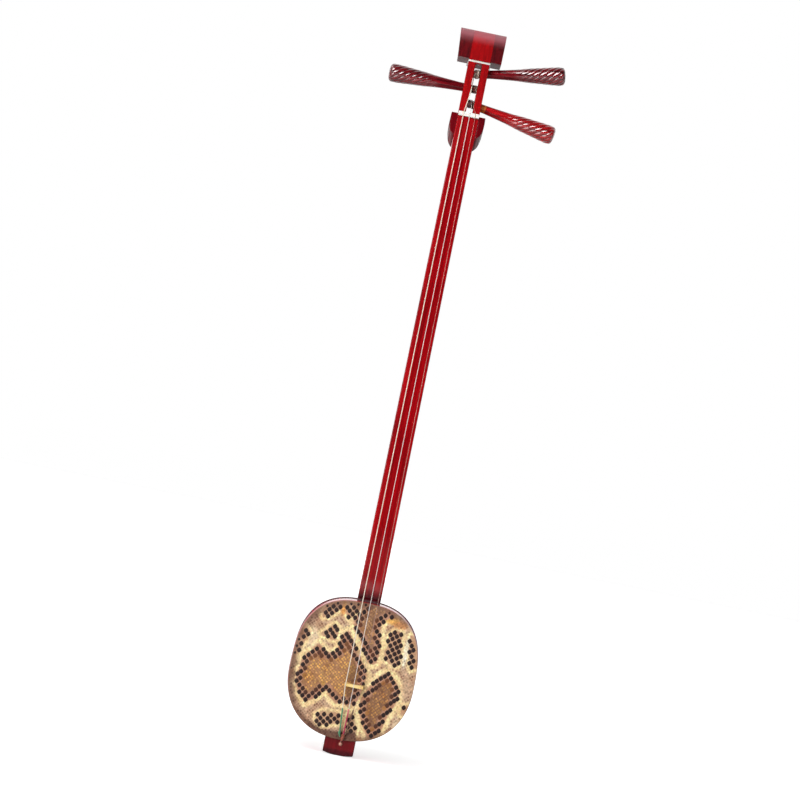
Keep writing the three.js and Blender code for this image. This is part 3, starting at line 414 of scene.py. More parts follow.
def curve_value(table, share):
    """A smooth curve through a table's points, without overshoot."""
    k = min(max(i for i, (s, _) in enumerate(table) if s <= share), len(table) - 2)
    steps = [(v1 - v0) / (s1 - s0) for (s0, v0), (s1, v1) in zip(table, table[1:])]

    def slope(i):
        if i <= 0 or i >= len(table) - 1:
            return 0.0 if i <= 0 else steps[-1]
        left, right = steps[i - 1], steps[i]
        return 0.0 if left * right <= 0 else 2 * left * right / (left + right)

    (s0, v0), (s1, v1) = table[k], table[k + 1]
    t, d = (share - s0) / (s1 - s0), s1 - s0
    a = 2 * t**3 - 3 * t**2 + 1
    return a * v0 + (1 - a) * v1 + d * (slope(k) * (t**3 - 2 * t**2 + t) + slope(k + 1) * (t**3 - t**2))


def resampled(path, step):
    """The same path with points at most a step apart."""
    points = [path[0]]
    for a, b in zip(path, path[1:]):
        count = max(1, math.ceil((b - a).length / step))
        points += [a.lerp(b, i / count) for i in range(1, count + 1)]
    return points


def rounded(path, reach):
    """The same path with its corners drawn as short curves."""
    points, steps = [path[0]], 4
    for before, corner, after in zip(path, path[1:], path[2:]):
        a, b = (
            corner.lerp(end, min(reach, 0.45 * (end - corner).length) / (end - corner).length)
            for end in (before, after)
        )
        for i in range(steps + 1):
            t = i / steps
            points.append(a.lerp(corner, t).lerp(corner.lerp(b, t), t))
    return points + [path[-1]]


# ---------------------------------------------------------------- mesh helpers


def make_object(name, points, faces, look, sharp=32):
    """A body from points in millimetres. Edges over an angle in degrees stay sharp."""
    mesh = bpy.data.meshes.new(name)
    mesh.from_pydata([tuple(c / 1000 for c in point) for point in points], [], faces)
    made = bmesh.new()
    made.from_mesh(mesh)
    bmesh.ops.recalc_face_normals(made, faces=made.faces)
    made.to_mesh(mesh)
    made.free()
    mesh.materials.append(LOOKS[look])
    mesh.shade_smooth()
    mesh.set_sharp_from_angle(angle=math.radians(sharp))
    obj = bpy.data.objects.new(name, mesh)
    bpy.context.scene.collection.objects.link(obj)
    return obj


def bands(loops):
    """Faces between loops of as many point numbers each."""
    faces = []
    for one, two in zip(loops, loops[1:]):
        for i in range(len(one)):
            j = (i + 1) % len(one)
            faces.append((one[i], one[j], two[j], two[i]))
    return faces


def loft(rings, closed=False):
    """Points and faces through rings of as many points each, capped unless they close in a loop."""
    count = len(rings[0])
    loops = [tuple(range(r * count, (r + 1) * count)) for r in range(len(rings))]
    faces = bands(loops + loops[:1]) if closed else bands(loops) + [loops[0], loops[-1]]
    return [point for ring in rings for point in ring], faces


def lofted(name, rings, look, sharp=32, closed=False):
    return make_object(name, *loft(rings, closed), look, sharp)


def prism(name, shape, axis, start, end, look):
    """A flat shape drawn out along an axis. Its points give the two other coordinates."""
    rings = [[Vector((*point[:axis], place, *point[axis:])) for point in shape] for place in (start, end)]
    return lofted(name, rings, look)


def tube_rings(path, radii, sides):
    """Rings round a path of points, and the length along it at each ring."""
    rings, lengths, length = [], [], 0.0
    normal = None
    for i, point in enumerate(path):
        before, after = path[max(i - 1, 0)], path[min(i + 1, len(path) - 1)]
        tangent = (point - before).normalized() + (after - point).normalized()
        tangent.normalize()
        if normal is None:
            normal = tangent.cross(Vector((1, 0, 0)) if abs(tangent.x) < 0.9 else Vector((0, 1, 0)))
        normal = (normal - tangent * normal.dot(tangent)).normalized()
        side = tangent.cross(normal)
        length += (point - before).length
        lengths.append(length)
        rings.append([point + radii[i] * (c * normal + s * side) for c, s in circle(sides)])
    return rings, lengths


def tube(name, path, radii, look, sides=12):
    rings, lengths = tube_rings(path, radii, sides)
    obj = lofted(name, rings, look, 50)
    set_numbers(obj, "along", [length for length in lengths for _ in range(sides)])
    return obj


def set_numbers(obj, name, values):
    obj.data.attributes.new(name, "FLOAT", "POINT").data.foreach_set("value", values)


def bevel(obj, width, segments=2, angle=35):
    """Rounds the sharp edges, keeping the flat faces flat."""
    obj.data.shade_smooth()
    rounding = obj.modifiers.new("rounded_edges", "BEVEL")
    rounding.width = width / 1000
    rounding.segments = segments
    rounding.limit_method = "ANGLE"
    rounding.angle_limit = math.radians(angle)
    rounding.harden_normals = True
    rounding.miter_outer = "MITER_ARC"
    rounding.use_clamp_overlap = False  # one short edge would take the rounding from all the others


def carve(obj, operation, *tools):
    """Joins or cuts with other bodies, which are used up, and joins points under 0.05 mm apart."""
    for tool in tools:
        cut = obj.modifiers.new("carve", "BOOLEAN")
        cut.operation = operation
        cut.solver = "EXACT"
        cut.object = tool
    bpy.context.view_layer.update()
    ready = obj.evaluated_get(bpy.context.evaluated_depsgraph_get())
    mesh = bpy.data.meshes.new_from_object(ready)
    obj.modifiers.clear()
    obj.data = mesh
    shape = bmesh.new()
    shape.from_mesh(mesh)
    bmesh.ops.remove_doubles(shape, verts=shape.verts, dist=0.00005)
    shape.to_mesh(mesh)
    shape.free()
    for tool in tools:
        bpy.data.objects.remove(tool)


def place_piece(obj, slot, *nodes, body="instrument"):
    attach(obj, body)
    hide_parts(*nodes)


# ---------------------------------------------------------------- drum


def outline(count, inset):
    """Points (x, z) round the drum's outline, seen from the front and drawn in by an inset."""
    points = []
    for cosine, sine in circle(count, 0.5):
        rise, power = DRUM_HALVES[sine >= 0]
        x = (DRUM_WIDTH / 2 - inset) * squared(cosine, 2 / power)
        points.append((DRUM_SHIFT + x, DRUM_Z + (rise - inset) * squared(sine, 2 / power)))
    return points


def outline_share(x, z, inset=0):
    """How far out a place lies: 1 is on the drum's outline drawn in by an inset."""
    rise, power = DRUM_HALVES[z >= DRUM_Z]
    u, w = abs(x - DRUM_SHIFT) / (DRUM_WIDTH / 2 - inset), abs(z - DRUM_Z) / (rise - inset)
    return (u**power + w**power) ** (1 / power)


def barrel_inset(y):
    share = min(max((y - FRAME_FRONT) / (FRAME_BACK - FRAME_FRONT), 0), 1)
    return DRUM_BULGE * curve_value(BARREL, min(share, 1 - share))


def drum_edge(x, y, upper):
    """Height of the drum's outside above or below a place."""
    inset = barrel_inset(y)
    rise, power = DRUM_HALVES[upper]
    reach = min(abs(x - DRUM_SHIFT) / (DRUM_WIDTH / 2 - inset), 1)
    edge = (rise - inset) * (1 - reach**power) ** (1 / power)
    return DRUM_Z + edge if upper else DRUM_Z - edge


def make_frame():
    """The four boards of the drum's frame, joined and lacquered over as one barrel."""
    steps, corner = 24, 0.5
    shares = [0.5 - 0.5 * math.cos(math.pi * i / steps) for i in range(steps + 1)]
    side = [between(FRAME_FRONT, FRAME_BACK, share) for share in shares]
    profile = [(barrel_inset(y), y) for y in side]
    profile[0] = (profile[0][0] + corner, FRAME_FRONT)
    profile[-1] = (profile[-1][0] + corner, FRAME_BACK)
    profile += [(FRAME_WALL, FRAME_BACK), (FRAME_WALL, FRAME_FRONT)]
    lines = [[Vector((x, y, z)) for x, z in outline(256, inset)] for inset, y in profile]
    obj = lofted("drum_frame", list(zip(*lines)), "frame", closed=True)
    place_piece(obj, "red_lacquer", "frame_top", "frame_right", "frame_bottom", "frame_left")


# Markings of the skin, seen from the front: corners of their outlines
SADDLES = [
    [(-22, 205), (-11, 188), (-2, 176), (10, 158), (20, 139), (18, 125), (15, 106), (10, 88),
     (0, 85), (-9, 89), (-20, 87), (-30, 94), (-39, 104), (-46, 102), (-52, 92), (-61, 85),
     (-70, 78), (-79, 88), (-87, 99), (-92, 110), (-90, 127), (-89, 140), (-84, 155), (-75, 163),
     (-67, 175), (-60, 170), (-51, 164), (-41, 164), (-34, 171), (-31, 188), (-31, 196), (-26, 203)],
    [(53, 150), (63, 146), (74, 134), (78, 123), (77, 108), (72, 93), (66, 80), (63, 65), (58, 51),
     (50, 42), (42, 42), (35, 53), (29, 64), (22, 79), (20, 93), (22, 105), (28, 119), (36, 130),
     (45, 145)],
    [(-6, 265), (16, 265), (47, 255), (47, 243), (39, 241), (30, 235), (27, 224), (28, 210),
     (33, 193), (33, 181), (32, 166), (27, 161), (20, 162), (11, 176), (3, 191), (-6, 205),
     (-13, 210), (-17, 226), (-12, 235), (-6, 244)],
]
CLUSTERS = [
    [(45, 212), (54, 222), (64, 220), (66, 204), (69, 184), (67, 165), (59, 166), (46, 171),
     (42, 183), (46, 192), (45, 204)],
    [(79, 219), (87, 218), (98, 194), (102, 171), (90, 164), (82, 191)],
    [(-67, 193), (-58, 201), (-48, 212), (-40, 208), (-40, 199), (-41, 188), (-47, 187),
     (-54, 189), (-62, 190)],
    [(-72, 229), (-62, 249), (-43, 257), (-42, 239), (-50, 231), (-61, 223), (-69, 221)],
    [(-35, 259), (-12, 262), (-12, 245), (-19, 237), (-22, 231), (-26, 226), (-33, 235)],
    [(-98, 203), (-85, 193), (-89, 180), (-95, 163), (-102, 145), (-113, 147), (-109, 172), (-103, 190)],
    [(-48, 60), (-39, 68), (-25, 69), (-11, 70), (-4, 55), (-16, 53), (-29, 48), (-41, 45)],
    [(3, 71), (9, 72), (21, 52), (22, 36), (14, 36), (7, 53)],
    [(89, 101), (96, 104), (100, 97), (95, 88), (89, 88)],
]
SMOOTH_BAND = [(-62, 49), (-35, 38), (-7, 40), (21, 44), (28, 27), (13, 22), (-15, 20), (-47, 26)]
# Tints of a scale and of the skin beside it, in the middle of each saddle
MIDDLES = [
    ((232, 182, 96), (166, 120, 88)), ((204, 150, 84), (136, 98, 74)), ((204, 158, 104), (150, 114, 90)),
]
# Soft patches laid over the rest: middle, half sizes, tint and strength
PATCHES = [
    (-38, 246, 6, 16, (222, 150, 74), 0.9), (-5, 252, 5, 12, (226, 160, 84), 0.9),
    (45, 238, 12, 8, (246, 184, 92), 0.9), (60, 232, 12, 7, (206, 140, 84), 0.8),
    (77, 190, 4, 27, (255, 250, 224), 0.95), (-78, 184, 8, 20, (250, 232, 196), 0.7),
    (84, 66, 7, 16, (246, 226, 190), 0.6), (30, 30, 16, 7, (222, 168, 112), 0.7),
    (6, 128, 20, 34, (104, 72, 48), 0.5), (88, 136, 8, 22, (212, 180, 150), 0.7),
]
LARGE_SCALE, SMALL_SCALE = (4.0, 4.55), (1.85, 2.1)  # half sizes
SMALL_PLACES = [(-2.85, 0), (2.85, 0), (0, 2.83), (0, -2.83)]  # in the room of a large one
SCALE_PITCH, ROW_PITCH, STRAY, BARE_RIM = 11.4, 5.65, 0.11, 3


def inside_depth(polygon, x, z):
    """Distance to a marking's border, above zero inside it."""
    nearest, inside = 1e9, False
    for (x0, z0), (x1, z1) in zip(polygon, polygon[1:] + polygon[:1]):
        if (z0 > z) != (z1 > z) and x < x0 + (x1 - x0) * (z - z0) / (z1 - z0):
            inside = not inside
        dx, dz = x1 - x0, z1 - z0
        t = min(max(((x - x0) * dx + (z - z0) * dz) / (dx * dx + dz * dz), 0), 1)
        nearest = min(nearest, math.hypot(x - x0 - t * dx, z - z0 - t * dz))
    return nearest if inside else -nearest


def blend_tone(first, second, share):
    return tuple(between(a, b, share) for a, b in zip(first, second))


def skin_tones(x, z):
    """Whether the scales at a place are the large ones, their tint, and the bare skin's."""
    depths = [inside_depth(polygon, x, z) for polygon in SADDLES]
    saddle, cluster = max(depths), max(inside_depth(polygon, x, z) for polygon in CLUSTERS)
    pale = ease(-12, -7, max(saddle, cluster - 3))
    edge, row, deep = ease(-3.2, -0.8, saddle), ease(4.5, 11, saddle), ease(9, 12.5, saddle)
    spots = ease(-2.2, -0.6, cluster)
    flat = ease(-3, 2, inside_depth(SMOOTH_BAND, x, z))
    share = outline_share(x, z)
    rim = (1 - share) * math.hypot(x - DRUM_SHIFT, z - DRUM_Z) / max(share, 0.05)
    ragged = rim + 4 * math.sin(x / 5.1 + 2 * math.sin(z / 8.3)) * math.sin(z / 6.7)
    brown = max(
        0.85 * ease(10, -70, x) * ease(17, 4, ragged),
        0.9 * ease(70, 34, z) * ease(15, 4, ragged),
        0.75 * ease(228, 246, z) * ease(18, 5, ragged),
    )
    middle = MIDDLES[depths.index(saddle)]
    # Each layer: the scales' tint and its strength, then those of the skin between them
    layers = [
        ((250, 220, 166), pale, (255, 234, 178), pale),
        (blend_tone((32, 17, 18), (104, 62, 42), row), ease(-1.7, -1.5, saddle), (192, 144, 116), edge),
        (middle[0], deep, middle[1], deep),
        ((36, 20, 20), ease(-1.5, -1.3, cluster), (206, 164, 130), spots),
    ]
    for x0, z0, reach_x, reach_z, tint, strength in PATCHES:
        away = math.hypot((x - x0) / reach_x, (z - z0) / reach_z)
        share = strength * ease(1.25, 0.6, away) * (1 - edge * (1 - deep)) * (1 - spots)
        layers.append((tint, 0.75 * share, tint, share))
    layers += [
        ((84, 54, 48), flat, (104, 72, 62), flat),
        ((80, 54, 46), brown * (1 - spots) * (1 - edge), (122, 88, 72), brown),
    ]
    scale, gap = (148, 108, 86), (210, 176, 146)
    for scale_tint, scale_share, gap_tint, gap_share in layers:
        scale, gap = blend_tone(scale, scale_tint, scale_share), blend_tone(gap, gap_tint, gap_share)
    return (-1.6 < saddle < 11.5 or cluster > -1.4) and flat < 0.5, scale, gap


def warp(x, z):
    """Rows of scales are slightly bent by the stretching."""
    return x + 4.6 * math.sin(z / 34 + 0.6) + 0.9 * math.sin(x / 19), z + 5.2 * math.sin(x / 37 + 1.1)


def scale_places(place_of, chance):
    """Centres and half sizes of the scales: large ones in the dark markings, four small ones in
    the room of a large one elsewhere. None crosses the drum's edge."""
    for row in range(-23, 24):
        for column in range(-11, 12):
            x = DRUM_SHIFT + SCALE_PITCH * (column + (0.5 if row % 2 else 0))
            x, z = warp(x, DRUM_Z + 8 + ROW_PITCH * row)
            places, (a, b) = [(0, 0)], LARGE_SCALE
            small = not skin_tones(*place_of(x, z))[0]
            if small:
                places, (a, b) = SMALL_PLACES, SMALL_SCALE
            for dx, dz in places:
                x0 = x + dx + STRAY * a * chance.uniform(-1, 1)
                z0 = z + dz + STRAY * a * chance.uniform(-1, 1)
                amiss = small and skin_tones(*place_of(x0, z0))[0]
                if not amiss and outline_share(x0, z0, BARE_RIM + 0.6 * a) < 1:
                    size = 1 if outline_share(x0, z0, BARE_RIM + b) < 1 else 0.6
                    yield x0, z0, a * size, b * size


def make_skin(name, y_face, facing, place_of, seed):
    """A stretched skin with a rounded rim and its raised scales. place_of gives where the markings
    are looked up for a place on this skin."""
    chance = random.Random(seed)
    points, tints, rises = [], [], []

    def put(x, y, z, tint, rise):
        points.append(Vector((x, y, z)))
        tints.append(tint)
        rises.append(rise)
        return len(points) - 1

    sides = 220
    # Insets from the drum's edge, and how far the skin has dropped there
    rows = [(2.2, 1.0), (2.25, 0.6), (2.7, 0.2), (3.6, 0.03)] + [(5 + 2.4 * k, 0) for k in range(42)]
    rings = []
    for inset, drop in rows:
        y = y_face - facing * drop
        rings.append([put(x, y, z, skin_tones(*place_of(x, z))[2], 0) for x, z in outline(sides, inset)])
    y = y_face - facing * SKIN_THICKNESS
    back = [put(x, y, z, (150, 120, 92), 0) for x, z in outline(sides, 2.3)]
    faces = bands(rings) + [tuple(rings[-1])] + bands([rings[0], back]) + [tuple(back)]

    for x0, z0, half_width, half_height in scale_places(place_of, chance):
        large, tint, gap = skin_tones(*place_of(x0, z0))
        around, height = (14, 0.34) if half_width > 2.5 else (8, 0.2)
        if not large:
            tint = blend_tone(tint, gap, chance.random())
        change = chance.uniform(0.88, 1.13)
        tint = tuple(min(step * change, 255) for step in tint)
        tilt = chance.uniform(-0.12, 0.12)
        middle = put(x0, y_face + facing * height, z0, tint, 1)
        loops = []
        for share, rise, edge_tint in ((0.7, 0.8, tint), (1.0, -0.05, blend_tone(tint, gap, 0.3))):
            loop = []
            for cosine, sine in circle(around):
                a = half_width * share * squared(cosine, 1.35)
                b = half_height * share * squared(sine, 1.35)
                x = x0 + a * math.cos(tilt) - b * math.sin(tilt)
                z = z0 + a * math.sin(tilt) + b * math.cos(tilt)
                loop.append(put(x, y_face + facing * height * rise, z, edge_tint, max(rise, 0)))
            loops.append(loop)
        inner, outer = loops
        for k in range(around):
            j = (k + 1) % around
            faces += [(middle, inner[k], inner[j]), (inner[k], outer[k], outer[j], inner[j])]
        faces.append(tuple(outer))

    obj = make_object(name, points, faces, "skin", 60)
    set_numbers(obj, "rise", rises)
    colours = obj.data.attributes.new("tint", "FLOAT_COLOR", "POINT")
    colours.data.foreach_set("color", [channel for tint in tints for channel in tone(tint)])
    return obj


def make_skins():
    """The front skin, and a back skin that looks its markings up turned over."""
    middle = 2 * DRUM_Z + DRUM_RISE - DRUM_DROP
    for side, y_face, facing, place_of, seed in (
        ("front", SKIN_Y, -1, lambda x, z: (x, z), 11),
        ("back", SKIN_Y + DRUM_DEPTH, 1, lambda x, z: (2 * DRUM_SHIFT - x + 6, middle - z), 23),
    ):
        skin = make_skin(side + "_python_skin", y_face, facing, place_of, seed)
        place_piece(skin, "python_skin", side + "_skin")


# ---------------------------------------------------------------- neck


def neck_section(width, depth, front, power, z):
    """Points round the neck: narrow bevels in front, and a curve behind that a power draws."""
    half, cheek, steps = width / 2, front + CHEEK * depth, 30
    ring = arc(NECK_BEVEL - half, front + NECK_BEVEL, NECK_BEVEL, 180, 270, 4)
    ring += arc(half - NECK_BEVEL, front + NECK_BEVEL, NECK_BEVEL, -90, 0, 4)
    for i in range(steps + 1):
        angle = math.pi * i / steps
        y = cheek + (depth - (cheek - front)) * abs(math.sin(angle)) ** (2 / power)
        ring.append((half * squared(math.cos(angle), 2 / power), y))
    return [Vector((x, y, z)) for x, y in ring]


def make_neck():
    """The stick above the drum, scooped in front of its foot and fitted to the drum's curve."""
    foot = DRUM_Z + DRUM_RISE
    rings = []
    for i in range(41):
        share = i / 40
        width, depth = (between(top, low, share) for top, low in zip(NECK_TOP, NECK_FOOT))
        z = between(JOINT_Z, foot + SCOOP_HEIGHT, share)
        rings.append(neck_section(width, depth, -NECK_REACH, NECK_POWER, z))
    width, depth = NECK_FOOT
    for i in range(1, 15):
        height = 1 - i / 15
        scoop = SCOOP_DEPTH * curve_value(SCOOP, max(height, SCOOP[0][0]))
        z = foot + height * SCOOP_HEIGHT
        rings.append(neck_section(width, depth - scoop, -NECK_REACH + scoop, NECK_POWER, z))
    last = neck_section(width, depth - SCOOP_DEPTH, -NECK_REACH + SCOOP_DEPTH, NECK_POWER, 0)
    rings.append([Vector((p.x, p.y, drum_edge(p.x, p.y, True) + GLUE_GAP)) for p in last])
    place_piece(lofted("neck_stick", rings, "red", 40), "red_lacquer", "neck")


# ---------------------------------------------------------------- head


def head_point(x, y, z):
    """A place given along the head's own axis, which leans back at the nut."""
    c, s = math.cos(TILT), math.sin(TILT)
    return Vector((x, -NECK_REACH + y * c + z * s, NUT_HEIGHT - y * s + z * c))


def lean(obj):
    """Moves a body drawn along the head's axis to its place."""
    for vertex in obj.data.vertices:
        vertex.co = head_point(*(vertex.co * 1000)) / 1000


def shovel_side(back):
    """The shovel seen from the side, from its face over the tip to its back edge, as (y, z)."""
    bend_y, bend_z = BEND - OVERHANG, TRIM_TOP + STRAIGHT
    tip = math.pi - BEND_ANGLE
    points = arc(bend_y, bend_z, BEND, 180, math.degrees(tip), 26)
    middle, inner = BEND - TIP / 2, BEND - TIP
    nose = (
        bend_y + middle * math.cos(tip) + NOSE * math.sin(tip),
        bend_z + middle * math.sin(tip) - NOSE * math.cos(tip),
    )
    under = (bend_y + inner * math.cos(tip), bend_z + inner * math.sin(tip))
    points += bend_curve(points[-1], nose, under, 10)
    return points + bend_curve(under, (WAIST_Y, TRIM_TOP + WAIST_LIFT), (back, TRIM_TOP + BACK_LIFT), 18)


def peg_point(peg, radius, angle, place):
    """A place round a peg's axis, in the head: the angle starts at the axis's upper side."""
    side, splay = peg["side"], peg["splay"]
    along = Vector((side * math.cos(splay), 0, math.sin(splay)))
    up = Vector((-side * math.sin(splay), 0, math.cos(splay)))
    front = Vector((0, -1, 0))
    centre = Vector((0, PEG_DEPTH, peg["z"]))
    return centre + place * along + radius * (math.cos(angle) * up + math.sin(angle) * front)


def shaft_radius(peg, place):
    return SHAFT_RADIUS + (SHAFT_TIP - SHAFT_RADIUS) * (peg["collar"] - place) / SHAFT_LENGTH


def trim_plan(outer, inner):
    """The inlay from above: round the front and both sides of the peg box."""
    half = BOX_WIDTH / 2
    return [
        (-half - outer, -outer), (half + outer, -outer), (half + outer + TRIM_SPLAY, BOX_DEPTH),
        (half - inner, BOX_DEPTH), (half - inner, inner), (inner - half, inner),
        (inner - half, BOX_DEPTH), (-half - outer - TRIM_SPLAY, BOX_DEPTH),
    ]


def make_head_block():
    """The peg box with its slot, peg holes and nut seat, in one with the shovel's middle."""
    half = BOX_WIDTH / 2
    side = [(THROAT, -NECK_BEVEL), (0, -NECK_BEVEL), (0, TRIM_TOP), (-OVERHANG, TRIM_TOP)]
    side += shovel_side(BOX_DEPTH)
    side += [(BOX_DEPTH, SWELL)]
    side += bend_curve((BOX_DEPTH, SWELL), (BOX_DEPTH, NUT_THICKNESS), (THROAT, -NECK_BEVEL), 14)[:-1]
    block = prism("peg_box", side, 0, -half, half, "bright")

    top, edge = TRIM_HEIGHT - SLOT_ROOF - SLOT_CORNER, SLOT_WIDTH / 2
    plan = [(-edge, NUT_THICKNESS), (edge, NUT_THICKNESS)]
    plan += arc(edge - SLOT_CORNER, top, SLOT_CORNER, 0, 90, 8)
    plan += arc(SLOT_CORNER - edge, top, SLOT_CORNER, 90, 180, 8)
    slack, sides, play = 0.1, 64, 0.2
    cutters = [
        prism("slot_cutter", plan, 1, -9, BOX_DEPTH + 7, "bright"),
        prism("groove_cutter", trim_plan(6, TRIM_INLAY), 2, TRIM_HEIGHT - slack, TRIM_TOP + slack, "bright"),
    ]
    for peg in PEGS.values():
        rings = []
        for place in (peg["collar"] - SHAFT_LENGTH - SEAM, peg["collar"] + 6):
            radius = shaft_radius(peg, place) + play
            rings.append([peg_point(peg, radius, 2 * math.pi * k / sides, place) for k in range(sides)])
        cutters.append(lofted("hole_cutter", rings, "bright"))
    carve(block, "DIFFERENCE", *cutters)
    lean(block)

    width, depth = NECK_TOP
    stem = [
        neck_section(width, depth, -NECK_REACH, NECK_POWER, JOINT_Z + GLUE_GAP),
        neck_section(BOX_WIDTH, depth, -NECK_REACH, 1.4 * NECK_POWER, JOINT_Z + SHOULDER_JOINT / 3),
        neck_section(BOX_WIDTH, THROAT, -NECK_REACH, 3 * NECK_POWER, NUT_HEIGHT - 3 * SEAM),
    ]
    carve(block, "UNION", lofted("stem", stem, "bright"))
    back, top = NUT_SEAT + slack, NUT_THICKNESS + slack
    seat = [(-6, -slack), (back, -slack), (back, top), (-6, top)]
    seat = prism("seat_cutter", seat, 0, -BOX_WIDTH, BOX_WIDTH, "bright")
    lean(seat)
    carve(block, "DIFFERENCE", seat)
    bevel(block, 0.35)
    place_piece(block, "bright_lacquer", "head_block")


def make_wings():
    inner, outer = BOX_WIDTH / 2 + GLUE_GAP, WING_FOOT / 2
    back, foot = BOX_DEPTH - WING_INSET, TRIM_TOP + WING_LIFT
    side = [(back, foot), (-OVERHANG, foot)] + shovel_side(back)
    rise = STRAIGHT + BEND * math.sin(BEND_ANGLE)
    for name, sign, flare in (("left", -1, LEFT_FLARE), ("right", 1, RIGHT_FLARE)):
        rings = []
        for share in (0, 0.25, 0.5, 0.75, 1):
            x = between(inner, outer, share)
            ring = [(x + flare * share * (z - TRIM_TOP) / rise, y, z) for y, z in side]
            rings.append([Vector((sign * x, y, z)) for x, y, z in ring])
        wing = lofted("shovel_wing_" + name, rings, "dark")
        lean(wing)
        bevel(wing, 0.4, 3)
        place_piece(wing, "dark_lacquer", "head_wing_" + name)


def make_trim():
    plan = trim_plan(TRIM_PROUD, TRIM_INLAY - 0.1)
    trim = prism("bone_inlay", plan, 2, TRIM_HEIGHT, TRIM_TOP, "bone")
    lean(trim)
    bevel(trim, 0.35)
    place_piece(trim, "bone", "head_trim")


def make_nut():
    """The nut with a round-bottomed notch for each string."""
    middle = NUT_ROUND - NUT_PROUD
    side = [(NUT_SEAT, 0)]
    side += arc(middle, NUT_ROUND, NUT_ROUND, -90, -180, 6)
    side += arc(middle, NUT_THICKNESS - NUT_ROUND, NUT_ROUND, 180, 90, 6)
    side += [(NUT_SEAT, NUT_THICKNESS)]
    nut = prism("bone_nut", side, 0, -NECK_TOP[0] / 2, NECK_TOP[0] / 2, "bone")
    cutters = []
    for string in STRINGS.values():
        x, reach = string["nut"], string["radius"] + 0.32
        y = NOTCH - NUT_PROUD - SEAM - string["radius"]
        profile = arc(x, y, reach, 0, 180, 10) + [(x - reach, y - 4), (x + reach, y - 4)]
        cutters.append(prism("notch_cutter", profile, 2, -3, NUT_THICKNESS + 3, "bone"))
    carve(nut, "DIFFERENCE", *cutters)
    lean(nut)
    bevel(nut, 0.25)
    place_piece(nut, "bone", "nut")


def make_shoulders():
    inner = BOX_WIDTH / 2 + GLUE_GAP
    reach = SHOULDER_WIDTH / 2 - inner
    top, steps = NUT_HEIGHT + SHOULDER_LIFT, 28
    for sign, name in ((-1, "left"), (1, "right")):
        rings = []
        for i in range(9):
            drop = between(FRONT_DROP, BACK_DROP, i / 8)
            heights = [SHOULDER[-1][0] * k / steps for k in range(steps + 1)]
            ring = [(inner + reach * curve_value(SHOULDER, height), height) for height in heights]
            ring += [(inner, 1), (inner, 0)]
            y = between(-NECK_REACH, SHOULDER_DEPTH - NECK_REACH, i / 8)
            rings.append([Vector((sign * x, y, top - height * drop)) for x, height in ring])
        shoulder = lofted("shoulder_cheek_" + name, rings, "cheek")
        bevel(shoulder, 0.8, 3)
        place_piece(shoulder, "red_lacquer", "shoulder_" + name)


# ---------------------------------------------------------------- pegs


def make_peg(name, look):
    """A shaft that tapers to a rounded tip, and a handle with flutes that wind round it."""
    peg = PEGS[name]
    collar = peg["collar"]
    tip, end = collar - SHAFT_LENGTH, collar + HANDLE_LENGTH
    # Each station: a place along the axis, the radius, and how deep the flutes are there
    stations = [(tip, 0.2, 0), (tip, 4.9, 0), (tip + 0.3, 5.6, 0), (tip + 1, 6.05, 0)]
    for i in range(1, 9):
        place = tip + 1 + (SHAFT_LENGTH - 1) * i / 8
        stations.append((place, shaft_radius(peg, place), 0))
    steps, around = 130, 160
    for i in range(1, steps + 1):
        share = 1 - (1 - i / steps) ** 1.25
        radius = HANDLE_RADIUS * curve_value(HANDLE, share)
        stations.append((collar + share * HANDLE_LENGTH, radius, ease(0.3, 0.56, share)))
    stations += [(end + 0.25, 6.2, 0.8), (end + 0.4, 3.6, 0.5), (end + 0.5, 0.3, 0)]
    rings, ridges, lengths = [], [], []
    for place, radius, flute in stations:
        run = max(place - collar - 0.33 * HANDLE_LENGTH, -0.1 * HANDLE_LENGTH)
        twist = 2 * math.pi * run / FLUTE_LEAD
        ring = []
        for k in range(around):
            angle = 2 * math.pi * k / around
            lobe = abs(math.cos(FLUTES / 2 * (angle + peg["side"] * twist)))
            depth = FLUTE_DEPTH * flute * (radius / HANDLE_RADIUS) * (1 - lobe**0.42)
            ring.append(peg_point(peg, radius - depth, angle, place))
            ridges.append(1 - flute * (1 - lobe))
            lengths.append(place - collar)
        rings.append(ring)
    obj = lofted("carved_peg_" + name, rings, look, 55)
    set_numbers(obj, "ridge", ridges)
    set_numbers(obj, "along", lengths)
    lean(obj)
    place_piece(obj, "dark_lacquer", "peg_" + name, body=name + "_peg")


# ---------------------------------------------------------------- strings


def winding_path(name):
    """The turns on the peg's shaft, and the string's bend at the slot's edge."""
    string, peg, route = STRINGS[name], PEGS[name], ROUTES[name]
    centre = head_point(0, PEG_DEPTH, peg["z"])
    tip = head_point(math.cos(peg["splay"]), PEG_DEPTH, peg["z"] + peg["side"] * math.sin(peg["splay"]))
    axis = (tip - centre).normalized()
    bend = head_point(route["bend"][0], -string["radius"] - 2 * SEAM, route["bend"][1])

    def wound(x):
        return shaft_radius(peg, peg["side"] * x) + 0.12 + string["radius"]

    towards = bend - (centre + axis * route["start"])
    towards -= axis * towards.dot(axis)
    ahead = towards.normalized()
    above = axis.cross(ahead)
    if above.z < 0:
        above.negate()
    cosine = wound(route["start"]) / towards.length
    sine = math.sqrt(1 - cosine**2)
    outward = ahead * cosine + above * sine
    onward = above * cosine - ahead * sine
    steps = round(route["turns"] * 48)
    path = []
    for i in range(steps + 1):
        angle = 2 * math.pi * route["turns"] * i / steps
        x = between(route["start"], route["end"], i / steps)
        path.append(centre + axis * x + wound(x) * (outward * math.cos(angle) + onward * math.sin(angle)))
    return path, bend


def tail_line(z):
    """Depth of the strings' line between the bridge and the tail cord."""
    crown = SKIN_Y - SEAM - BRIDGE_HEIGHT - SEAM - STRINGS["low"]["radius"]
    rim = SKIN_Y - SEAM - CORD_KNOT
    return between(crown, rim, (BRIDGE_Z - z) / (BRIDGE_Z - RIM_CROSS))


